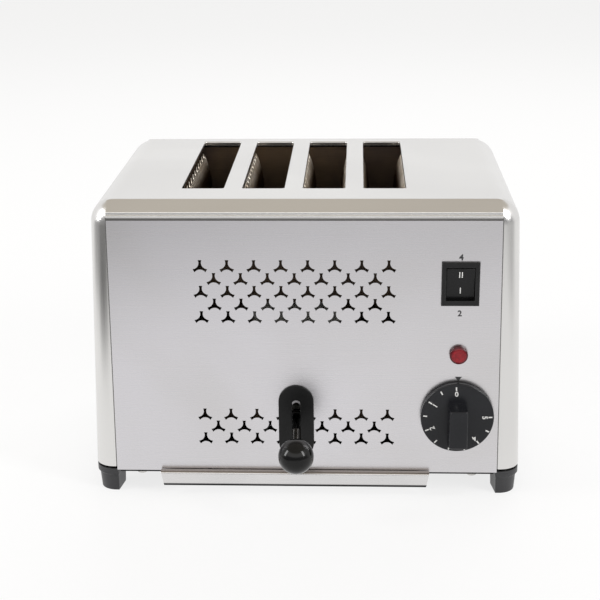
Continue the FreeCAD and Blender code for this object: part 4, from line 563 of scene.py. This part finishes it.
moulded("bush_plastic", (0.62, 0.60, 0.54), (0.54, 0.52, 0.46), 0.48, size=900.0, depth=0.012)
moulded("ceramic", (0.70, 0.66, 0.58), (0.62, 0.58, 0.50), 0.55, size=700.0, depth=0.03)
moulded("mica", (0.105, 0.060, 0.030), (0.065, 0.038, 0.022), 0.34, size=420.0, depth=0.05, coat=0.15)
moulded("lead_sleeve", (0.55, 0.50, 0.42), (0.46, 0.41, 0.33), 0.62, size=1600.0, depth=0.05)
moulded("black_enamel", (0.010, 0.010, 0.010), (0.014, 0.014, 0.014), 0.40, size=1200.0, depth=0.01,
        edge=(0.025, 0.025, 0.025), dust=0.03, specular=0.15)
print(len(FINISHES), "finishes with the moulded ones")

# %% [markdown]
# ## Red of the lamp cap
# The cap is red plastic over a lamp that is off. Clear plastic would need the whole lamp
# modelled behind it to look right, so the red is opaque here, with light painted in: cells of
# a Voronoi pattern are painted glints standing for the small prisms moulded in it, and
# painted shade makes the sloping rim darker than the face.

# %% Red of the lamp cap
FACE_RED = (0.20, 0.005, 0.010)
RIM_SHADE_RED = (0.075, 0.004, 0.008)
OUTSIDE_THE_FACE = [("Depth", -4.0, -3.6)]

tree, shader = new_finish("red_lens")
skin = use(tree, MOULDED, {"Size": 900.0, "Depth": 0.01})
place = node(tree, "ShaderNodeTexCoord")
prisms = node(tree, "ShaderNodeTexVoronoi", {"Vector": place.outputs["Object"], "Scale": 850.0})
# Painted glints: the Voronoi cells make the red lighter and darker.
tone = spread(tree, prisms.outputs["Distance"], 0.7, 1.35)
glinted_red = node(tree, "ShaderNodeVectorMath", {0: FACE_RED, 1: tone}, operation="MULTIPLY")
# Painted shade: the sloping rim outside the face is a darker red.
lens_red = mix_colour(tree, zone(tree, OUTSIDE_THE_FACE), glinted_red.outputs[0], RIM_SHADE_RED)
tree.links.new(lens_red, shader.inputs["Base Color"])
tree.links.new(skin.outputs["Normal"], shader.inputs["Normal"])
shader.inputs["Roughness"].default_value = 0.22
shader.inputs["Specular IOR Level"].default_value = 0.3
shader.inputs["Coat Weight"].default_value = 0.10
shader.inputs["Coat Roughness"].default_value = 0.05
print("finish red_lens")

# %% [markdown]
# ## Giving out the finishes
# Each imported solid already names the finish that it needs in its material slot, so a loop
# can hand them all out. Only the switch's frame differs: it is duller than other black parts.

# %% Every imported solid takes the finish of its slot
for solid in NODES.values():
    slot_name = solid.material_slots[0].material.name.split(".")[0]
    solid.material_slots[0].material = FINISHES[slot_name]
NODES["switch_housing"].material_slots[0].material = FINISHES["switch_plastic"]
print("finished", len(NODES), "solids")

# %% [markdown]
# ## Softened edges
# Real sheet and moulded parts have no razor edges, and a small round is what catches the
# light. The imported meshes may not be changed, but modifiers may be laid over them: one
# joins the faces into a single skin, the next rounds every edge sharper than a limit.

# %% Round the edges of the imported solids
SHARP_ANGLE = math.radians(35)


def soften(name, width):
    """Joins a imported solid's faces and rounds its sharp edges by width millimetres."""
    solid = NODES[name]
    weld = solid.modifiers.new("join_faces", "WELD")
    weld.merge_threshold = 0.002 * MM
    bevel = solid.modifiers.new("rounded_edges", "BEVEL")
    bevel.width, bevel.segments = width * MM, 2
    bevel.limit_method, bevel.angle_limit = "ANGLE", SHARP_ANGLE
    even = solid.modifiers.new("even_normals", "WEIGHTED_NORMAL")
    even.weight = 90


SOFT_EDGES = {"base_pan": 0.25, "crumb_tray": 0.2, "switch_housing": 0.3, "switch_rocker": 0.35,
              "foot_front_left": 0.5, "foot_front_right": 0.5, "foot_rear_left": 0.5,
              "foot_rear_right": 0.5, "timer_body": 0.4, "carriage_front_plate": 0.2,
              "carriage_rear_plate": 0.2, "armature": 0.3, "slide_bushes": 0.3,
              "tray_runner_left": 0.2, "tray_runner_right": 0.2, "terminal_block": 0.4}
for name, width in SOFT_EDGES.items():
    soften(name, width)
print("rounded", len(SOFT_EDGES), "solids")

# %% [markdown]
# ## Adding pieces
# A new piece is a mesh with one of the finishes. It says which moving body it rides on and
# which material slot it fills, so that it moves with the solid it dresses. Its faces are
# shaded smooth, while edges sharper than a limit stay crisp, as on a real moulding.

# %% Putting a piece in the scene


def piece(name, mesh, finish, body):
    """Puts a mesh in the scene as a piece that rides on a body."""
    made = bpy.data.objects.new(name, mesh)
    bpy.context.scene.collection.objects.link(made)
    mesh.materials.append(FINISHES[finish])
    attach(made, body)
    return made


def mesh_from(name, shape, smooth_angle=40):
    """Ends a bmesh as a mesh, smooth but with edges sharper than the angle kept crisp."""
    bmesh.ops.recalc_face_normals(shape, faces=shape.faces)
    for face in shape.faces:
        face.smooth = True
    for edge in shape.edges:
        if len(edge.link_faces) == 2 and edge.calc_face_angle(0) > math.radians(smooth_angle):
            edge.smooth = False
    mesh = bpy.data.meshes.new(name)
    shape.to_mesh(mesh)
    shape.free()
    return mesh


print("piece helpers ready")

# %% [markdown]
# ## The timer dial
# The dial is a satin black disc with a grip bar moulded across it. The bar's upper end is
# scooped out for a thumb, its sides draft inwards, and fine arcs of light run along the
# rim. The disc is turned: a profile is swept round the axis, as on a lathe. The bar is
# lofted: outlines of equal length are joined one behind the other. A cube with modifiers
# would be quicker, but its edges would not follow the scoop so cleanly.

# %% Turned pieces


def turned(name, profile, place, axis, steps=96, smooth_angle=40):
    """Sweeps (radius, height) points round an axis through place; heights run along the axis."""
    shape = bmesh.new()
    to_axis = Vector(axis).to_track_quat("Z", "Y").to_matrix()
    rings = []
    for radius, height in profile:
        if radius == 0:
            rings.append([shape.verts.new(place + to_axis @ Vector((0, 0, height * MM)))])
            continue
        rings.append([shape.verts.new(place + to_axis @ Vector((
            radius * MM * math.cos(2 * math.pi * i / steps),
            radius * MM * math.sin(2 * math.pi * i / steps), height * MM))) for i in range(steps)])
    for first, second in zip(rings, rings[1:]):
        for i in range(steps):
            following = (i + 1) % steps
            corners = [first[i % len(first)], first[following % len(first)],
                       second[following % len(second)], second[i % len(second)]]
            shape.faces.new(list(dict.fromkeys(corners)))
    for ring, flip in ((rings[0], True), (rings[-1], False)):
        if len(ring) > 1:
            shape.faces.new(ring[::-1] if flip else ring)
    return mesh_from(name, shape, smooth_angle)


print("turned pieces can be made")

# %% Dial disc
CONTROL_X = 107.1
KNOB_Z = 62.0
KNOB_RADIUS = 25.7
KNOB_FACE = 5.5
disc_profile = [(0, 2.3), (23.7, 2.3), (23.7, 1.15), (23.9, 1.0), (25.1, 1.0), (25.5, 1.15),
                (KNOB_RADIUS, 1.5), (KNOB_RADIUS, 4.5), (25.66, 4.8), (25.54, 5.05), (25.35, 5.25),
                (25.1, 5.4), (24.8, 5.48), (24.5, KNOB_FACE), (12.0, KNOB_FACE), (0, KNOB_FACE)]
disc = piece("dial_disc", turned("dial_disc", disc_profile, at(CONTROL_X, 0, KNOB_Z), (0, -1, 0),
                                 steps=160, smooth_angle=60),
             "knob_plastic", "timer_dial")
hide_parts("timer_knob")
print("dial disc, radius", KNOB_RADIUS)

# %% Lofted pieces
CORNER_STEPS = 6


def lofted(name, outlines, closed=False, smooth_angle=40):
    """Joins outlines of equal length; closed joins the last to the first instead of capping."""
    shape = bmesh.new()
    rings = [[shape.verts.new(point) for point in outline] for outline in outlines]
    pairs = list(zip(rings, rings[1:])) + ([(rings[-1], rings[0])] if closed else [])
    count = len(rings[0])
    for first, second in pairs:
        for i in range(count):
            following = (i + 1) % count
            shape.faces.new([first[i], first[following], second[following], second[i]])
    if not closed:
        shape.faces.new(rings[0][::-1])
        shape.faces.new(rings[-1])
    return mesh_from(name, shape, smooth_angle)


def round_corners(half_width, low, high, radius):
    """Points of a rectangle with round corners, as (across, up) pairs in millimetres."""
    points = []
    for across, level, start in ((half_width - radius, high - radius, 0),
                                 (-half_width + radius, high - radius, 90),
                                 (-half_width + radius, low + radius, 180),
                                 (half_width - radius, low + radius, 270)):
        for i in range(CORNER_STEPS + 1):
            angle = math.radians(start + 90 * i / CORNER_STEPS)
            points.append((across + radius * math.cos(angle), level + radius * math.sin(angle)))
    return points


print("lofted pieces can be made")

# %% Grip bar across the dial
BAR_OUT = 14.5
BAR_ROOT = 0.6
BAR_HALF, BAR_HALF_DRAFT = 6.6, 0.3
BAR_TOP, BAR_TOP_DRAFT = 12.8, 1.9
BAR_BOTTOM, BAR_BOTTOM_DRAFT = -22.3, 5.0
BAR_CORNER = 1.6
THUMB_SCOOP = 1.1
RIM_ROUND = 1.15

bar_levels = [-BAR_ROOT / BAR_OUT] + [i / 12 for i in range(12)]
bar_levels += [1 - RIM_ROUND / BAR_OUT * (1 - math.sin(math.radians(15 * i))) for i in range(7)]
outlines = []
for share in bar_levels:
    out = BAR_OUT * share
    half = BAR_HALF - BAR_HALF_DRAFT * share
    scoop = 4 * THUMB_SCOOP * share * (1 - share)
    top = BAR_TOP - BAR_TOP_DRAFT * share - scoop
    bottom = BAR_BOTTOM + BAR_BOTTOM_DRAFT * share
    last = max(0.0, (out - BAR_OUT + RIM_ROUND) / RIM_ROUND)
    ease = RIM_ROUND * (1 - math.sqrt(max(0.0, 1 - last * last)))
    outline = round_corners(half - ease, bottom + ease, top - ease, BAR_CORNER)
    outlines.append([at(CONTROL_X + across, -KNOB_FACE - out, KNOB_Z + level) for across, level in outline])
piece("dial_grip", lofted("dial_grip", outlines, smooth_angle=50), "knob_plastic", "timer_dial")
print("grip bar with", len(outlines), "outlines")

# %% [markdown]
# ## White marks of the dial
# The scale runs anticlockwise, because the dial turns back to nought as time runs out.
# Every mark is a thin film of paint with real thickness, and each number is upright when
# it comes under the index. Paint finishes are matt and a little uneven.

# %% Paints
moulded("white_paint", (0.80, 0.80, 0.79), (0.70, 0.70, 0.69), 0.5, size=2500.0, depth=0.006)
moulded("black_paint", (0.022, 0.022, 0.024), (0.035, 0.035, 0.037), 0.5, size=2500.0, depth=0.006)
print(len(FINISHES), "finishes in all")

# %% Films of paint
PAINT_THICK = 0.04


def thickened(shape):
    """Turns a flat bmesh into a film of paint, thick along +Z."""
    front = bmesh.ops.extrude_face_region(shape, geom=shape.faces[:])
    raised = [v for v in front["geom"] if isinstance(v, bmesh.types.BMVert)]
    bmesh.ops.translate(shape, verts=raised, vec=(0, 0, PAINT_THICK * MM))
    return shape


def bar(width, height):
    """A painted stroke, centred, facing +Z until it is placed."""
    shape = bmesh.new()
    bmesh.ops.create_grid(shape, x_segments=2, y_segments=4, size=0.5)
    bmesh.ops.scale(shape, vec=(width * MM, height * MM, 1), verts=shape.verts)
    return thickened(shape)


def numeral(text, height, weight):
    """A number as a film of paint, centred, height millimetres tall, facing +Z until it is placed."""
    curve = bpy.data.curves.new("numeral_" + text, "FONT")
    curve.body, curve.size, curve.offset, curve.resolution_u = text, 1.0, weight, 4
    holder = bpy.data.objects.new("numeral_" + text, curve)
    bpy.context.scene.collection.objects.link(holder)
    flat = bpy.data.meshes.new_from_object(holder.evaluated_get(bpy.context.evaluated_depsgraph_get()))
    bpy.data.objects.remove(holder)
    shape = bmesh.new()
    shape.from_mesh(flat)
    bmesh.ops.remove_doubles(shape, verts=shape.verts, dist=1e-5)
    across = [v.co.x for v in shape.verts]
    level = [v.co.y for v in shape.verts]
    middle = Vector(((min(across) + max(across)) / 2, (min(level) + max(level)) / 2, 0))
    grow = height * MM / (max(level) - min(level))
    for vert in shape.verts:
        vert.co = (vert.co - middle) * grow
    return thickened(shape)


def on_front(x, depth, z, angle=0.0):
    """Where a print goes: its up is turned anticlockwise by angle, and it faces to the front."""
    turn = math.radians(angle)
    axes = Matrix(((math.cos(turn), 0, math.sin(turn)), (-math.sin(turn), 0, math.cos(turn)), (0, -1, 0)))
    return Matrix.Translation(at(x, depth, z)) @ axes.transposed().to_4x4()


def gathered(name, parts):
    """Joins (shape, matrix) pairs into one mesh."""
    whole = bmesh.new()
    for shape, matrix in parts:
        bmesh.ops.transform(shape, matrix=matrix, verts=shape.verts)
        temp = bpy.data.meshes.new("part")
        shape.to_mesh(temp)
        shape.free()
        whole.from_mesh(temp)
        bpy.data.meshes.remove(temp)
    return mesh_from(name, whole)


print("paint is", PAINT_THICK, "mm thick")

# %% Scale of the dial
DIAL_START = 3.4
DIAL_STEP = 27.05
TICK_RADIUS = 22.9
NUMBER_RADIUS = 19.1
TICK_WIDTH, TICK_HEIGHT = 0.95, 2.7
NUMBER_HEIGHT, NUMBER_WEIGHT = 3.8, 0.025
SCALE_X = CONTROL_X + 0.2
SCALE_Z = KNOB_Z - 0.75
SCALE_SINK = 0.01


def on_dial(radius, angle):
    """A place on the dial's face, turned anticlockwise from the top of the scale."""
    turn = math.radians(angle)
    return on_front(SCALE_X - radius * math.sin(turn), SCALE_SINK - KNOB_FACE,
                    SCALE_Z + radius * math.cos(turn), angle)


marks = []
for index in range(11):
    angle = DIAL_START + DIAL_STEP * index
    marks.append((bar(TICK_WIDTH, TICK_HEIGHT), on_dial(TICK_RADIUS, angle)))
    if index % 2 == 0:
        number = numeral(str(index // 2), NUMBER_HEIGHT, NUMBER_WEIGHT)
        marks.append((number, on_dial(NUMBER_RADIUS, angle)))
piece("dial_scale", gathered("dial_scale", marks), "white_paint", "timer_dial")
print("dial marks", len(marks))

# %% [markdown]
# ## The lever
# A threaded rod carries a polished ball. The thread is real geometry: rings round the rod
# whose radius follows a zigzag that climbs with the angle. A bump map would leave the rod's
# outline smooth, and it is the outline that shows against the bright panel.

# %% Axis of the lever
LEVER_X = -6.4
BALL_LEAN = 1.9
BALL_REACH = 50.0
ROD_Z = 58.6
BALL_Z = 52.8
ROD_SLOPE = (ROD_Z - BALL_Z) / BALL_REACH


def lever_point(depth):
    """A point on the lever's axis, which leans down and to the side towards the ball."""
    return at(LEVER_X - BALL_LEAN * depth / BALL_REACH, depth, ROD_Z + ROD_SLOPE * depth)


ball_centre = lever_point(-BALL_REACH)
inward = (lever_point(0) - ball_centre).normalized()
print("lever runs from the ball at", ball_centre, "along", inward)

# %% Threaded rod
ROD_RADIUS = 2.5
ROD_IN_BALL = 9.0
ROD_TIP = 1.0
ROD_STEPS = 32
ROD_CHAMFER = 0.4
PLAIN_STEP = 1.2
BALL_RADIUS = 12.1
NUT_FRONT = 3.9
NUT_THICK = 2.6
THREAD_PITCH = 0.9
THREAD_DEPTH = 0.42
THREAD_FROM, THREAD_TO = 8.0, 30.0
THREAD_RUN_OUT = 0.8

rod_start = ball_centre + inward * (BALL_RADIUS - ROD_IN_BALL) * MM
rod_end = lever_point(NUT_FRONT + NUT_THICK + ROD_TIP)
rod_length = (rod_end - rod_start).length / MM
to_rod = inward.to_track_quat("Z", "Y").to_matrix()
outlines = []
levels = []
level = 0.0
while level < rod_length:
    levels.append(level)
    level += THREAD_PITCH / 8 if THREAD_FROM - 1 < level < THREAD_TO + 1 else PLAIN_STEP
levels.append(rod_length)
for level in levels:
    ring = []
    fade = min(1.0, max(0.0, (level - THREAD_FROM) / THREAD_RUN_OUT))
    fade *= min(1.0, max(0.0, (THREAD_TO - level) / THREAD_RUN_OUT))
    end = ROD_CHAMFER if level in (levels[0], levels[-1]) else 0.0
    for i in range(ROD_STEPS):
        turn = i / ROD_STEPS
        phase = (level / THREAD_PITCH - turn) % 1.0
        cut = THREAD_DEPTH * fade * (1 - abs(2 * phase - 1))
        radius = (ROD_RADIUS - cut - end) * MM
        ring.append(rod_start + to_rod @ Vector((radius * math.cos(2 * math.pi * turn),
                                                 radius * math.sin(2 * math.pi * turn), level * MM)))
    outlines.append(ring)
rod = piece("lever_shaft", lofted("lever_shaft", outlines, smooth_angle=55), "black_oxide_steel",
            "carriage")
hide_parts("lever_rod")
print("rod", round(rod_length, 1), "mm long with", len(levels), "rings")

# %% [markdown]
# ## Nut and ball
# A nut locks the rod behind the carriage's arm: a six-sided loft with chamfered faces. The
# ball is turned about the rod's own axis and is open where the rod enters, so that its
# mouth shows as a real edge.

# %% Nut behind the carriage's arm
NUT_ACROSS = 8.0
NUT_CHAMFER = 0.35

nut_corner = NUT_ACROSS / math.sqrt(3)
nut_middle = lever_point(NUT_FRONT + NUT_THICK / 2)
outlines = []
for out, shrink in ((0, NUT_CHAMFER), (NUT_CHAMFER, 0), (NUT_THICK - NUT_CHAMFER, 0),
                    (NUT_THICK, NUT_CHAMFER)):
    outlines.append([Vector((nut_middle.x + (nut_corner - shrink) * MM * math.cos(math.radians(60 * i)),
                             at(0, NUT_FRONT + out, 0).y,
                             nut_middle.z + (nut_corner - shrink) * MM * math.sin(math.radians(60 * i))))
                     for i in range(6)])
piece("lever_nut", lofted("lever_nut", outlines, smooth_angle=20), "black_oxide_steel", "carriage")
print("nut", NUT_ACROSS, "mm across its flats")

# %% Polished ball
BALL_RINGS = 61
MOUTH = 3.4
MOUTH_RIM = 3.0
BORE = 2.65
BORE_DEPTH = 3.0

ball_profile = [(0, -BALL_RADIUS)]
for i in range(1, BALL_RINGS):
    angle = math.pi * i / BALL_RINGS
    radius = BALL_RADIUS * math.sin(angle)
    if angle > math.pi / 2 and radius < MOUTH:
        break
    ball_profile.append((radius, -BALL_RADIUS * math.cos(angle)))
mouth_level = math.sqrt(BALL_RADIUS ** 2 - MOUTH ** 2)
ball_profile += [(MOUTH, mouth_level), (MOUTH_RIM, mouth_level + 0.02), (BORE, mouth_level - 0.25),
                 (BORE - 0.03, mouth_level - BORE_DEPTH), (0, mouth_level - BORE_DEPTH)]
ball = piece("lever_knob", turned("lever_knob", ball_profile, ball_centre, inward, smooth_angle=50),
             "gloss_black_plastic", "carriage")
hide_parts("lever_ball")
print("ball", 2 * BALL_RADIUS, "mm across")

# %% [markdown]
# ## Cover plate of the lever's slot
# The plate is a flat moulding with half-round ends and a slot of the same form. Its
# outline and the slot have the same number of points, so rows of faces can join them,
# and a few more rows round the outer rim and the slot's edge.

# %% Cover plate
PLATE_STEPS = 40
PLATE_HALF, PLATE_LOW, PLATE_HIGH = 12.5, 27.8, 84.2
SLOT_HALF, SLOT_LOW, SLOT_HIGH = 3.0, 37.0, 73.1
PLATE_THICK = 1.4
PLATE_RIM = [(0.08, 0.0), (0.0, -0.08), (0.0, -0.9), (0.05, -1.12), (0.18, -1.29), (0.38, -1.38),
             (0.6, -PLATE_THICK), (1.2, -PLATE_THICK)]
SLOT_RIM = [(0.8, -PLATE_THICK), (0.3, -PLATE_THICK), (0.1, -1.34), (0.0, -1.15), (0.0, -0.1), (0.1, 0.0)]


def long_round(half, low, high, depth):
    """An outline with half-round ends, as points in metres."""
    points = []
    for centre, start in ((high - half, 0), (low + half, 180)):
        for i in range(PLATE_STEPS + 1):
            angle = math.radians(start + 180 * i / PLATE_STEPS)
            points.append(at(LEVER_X + half * math.cos(angle), depth, centre + half * math.sin(angle)))
    return points


plate_rows = []
for inset, depth in PLATE_RIM:
    plate_rows.append(long_round(PLATE_HALF - inset, PLATE_LOW + inset, PLATE_HIGH - inset, depth))
for grow, depth in SLOT_RIM:
    plate_rows.append(long_round(SLOT_HALF + grow, SLOT_LOW - grow, SLOT_HIGH + grow, depth))
plate = piece("lever_cover", lofted("lever_cover", plate_rows, closed=True, smooth_angle=50),
              "plate_plastic", "chassis")
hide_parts("lever_escutcheon")
print("cover plate rows", len(plate_rows))

# %% [markdown]
# ## Rolled edge above the front panel
# The wrap ends above the front panel in a rolled edge, which shows as a bright line. A roll
# is a half-round section drawn along a straight line, so two outlines and a loft make it.

# %% Rolled edge
ROLL_Z = 207.2
ROLL_HALF = 0.95
ROLL_PROUD = 0.8
ROLL_ROOT = 0.05
ROLL_REACH = 134.2

roll_ends = []
for x in (-ROLL_REACH, ROLL_REACH):
    roll_ends.append([at(x, ROLL_ROOT - ROLL_PROUD * math.sin(math.radians(15 * i)),
                         ROLL_Z + ROLL_HALF * math.cos(math.radians(15 * i))) for i in range(13)])
piece("front_roll", lofted("front_roll", roll_ends), "stainless_wrap", "chassis")
print("rolled edge", ROLL_REACH * 2, "mm long")

# %% [markdown]
# ## Lamp cap
# The lamp is a small red jewel: it widens away from the panel, turns over a rim, slopes in
# and ends in a nearly flat face. Turning one profile gives all of these, and painted glints
# in its finish stand for the light that tiny prisms break.

# %% Lamp cap
LAMP_Z = 108.0
lamp_profile = [(0, 0.05), (5.1, 0.05), (5.3, 0.2), (5.75, 1.2), (6.15, 2.1), (6.32, 2.6), (6.35, 2.85),
                (6.28, 3.1), (6.05, 3.3), (5.5, 3.6), (4.9, 3.88), (4.62, 4.0), (4.4, 4.06), (4.0, 4.1),
                (2.4, 4.17), (0, 4.2)]
lamp = piece("lamp_cap", turned("lamp_cap", lamp_profile, at(CONTROL_X, 0, LAMP_Z), (0, -1, 0), steps=72,
                                smooth_angle=70), "red_lens", "chassis")
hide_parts("lamp_lens")
print("lamp cap with", len(lamp_profile), "points in its profile")

# %% [markdown]
# ## Printed marks
# The switch carries a double and a single stroke, the panel a number above and below the
# switch, and a small black triangle shows where the dial is read. Each print is laid on
# the surface under it by casting a ray at every one of its points, so it follows the
# rocker's curve as well as the flat panel.

# %% Prints that follow the surface below
RAY_START = 0.03
PRINT_SINK = 0.004
SWITCH_Z = 159.6
STROKE_WIDTH, STROKE_HEIGHT = 0.65, 4.5
STROKES = [(-0.9, 6.8), (0.9, 6.8), (0, -5.2)]
NUMBERS = [("4", 4.5, 18.9), ("2", 4.4, -21.4)]
NUMERAL_WEIGHT = 0.03
TRIANGLE = [(-2.5, 1.8), (0, -1.7), (2.5, 1.8)]
TRIANGLE_SIDE, TRIANGLE_GAP = 0.3, 1.7


def printed(name, parts, node_name, paint, body):
    """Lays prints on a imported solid: each point moves back to the surface and keeps its thickness."""
    surface = NODES[node_name]
    mesh = gathered(name, parts)
    for vert in mesh.vertices:
        hit, where, _, _ = surface.ray_cast(vert.co - Vector((0, RAY_START, 0)), Vector((0, 1, 0)))
        if hit:
            vert.co.y = where.y + (vert.co.y - PANEL_FACE) - PRINT_SINK * MM
    piece(name, mesh, paint, body)


strokes = [(bar(STROKE_WIDTH, STROKE_HEIGHT), on_front(CONTROL_X + shift, 0, SWITCH_Z + level))
           for shift, level in STROKES]
printed("switch_marks", strokes, "switch_rocker", "white_paint", "rocker")
numbers = [(numeral(text, height, NUMERAL_WEIGHT), on_front(CONTROL_X, 0, SWITCH_Z + level))
           for text, height, level in NUMBERS]
printed("switch_numbers", numbers, "front_panel", "black_paint", "chassis")
triangle = bmesh.new()
triangle.faces.new([triangle.verts.new((x * MM, z * MM, 0)) for x, z in TRIANGLE])
index_place = on_front(CONTROL_X + TRIANGLE_SIDE, 0, KNOB_Z + KNOB_RADIUS + TRIANGLE_GAP)
printed("dial_index", [(thickened(triangle), index_place)], "front_panel", "black_paint", "chassis")
print("prints:", len(strokes), "strokes,", len(numbers), "numbers and a triangle")
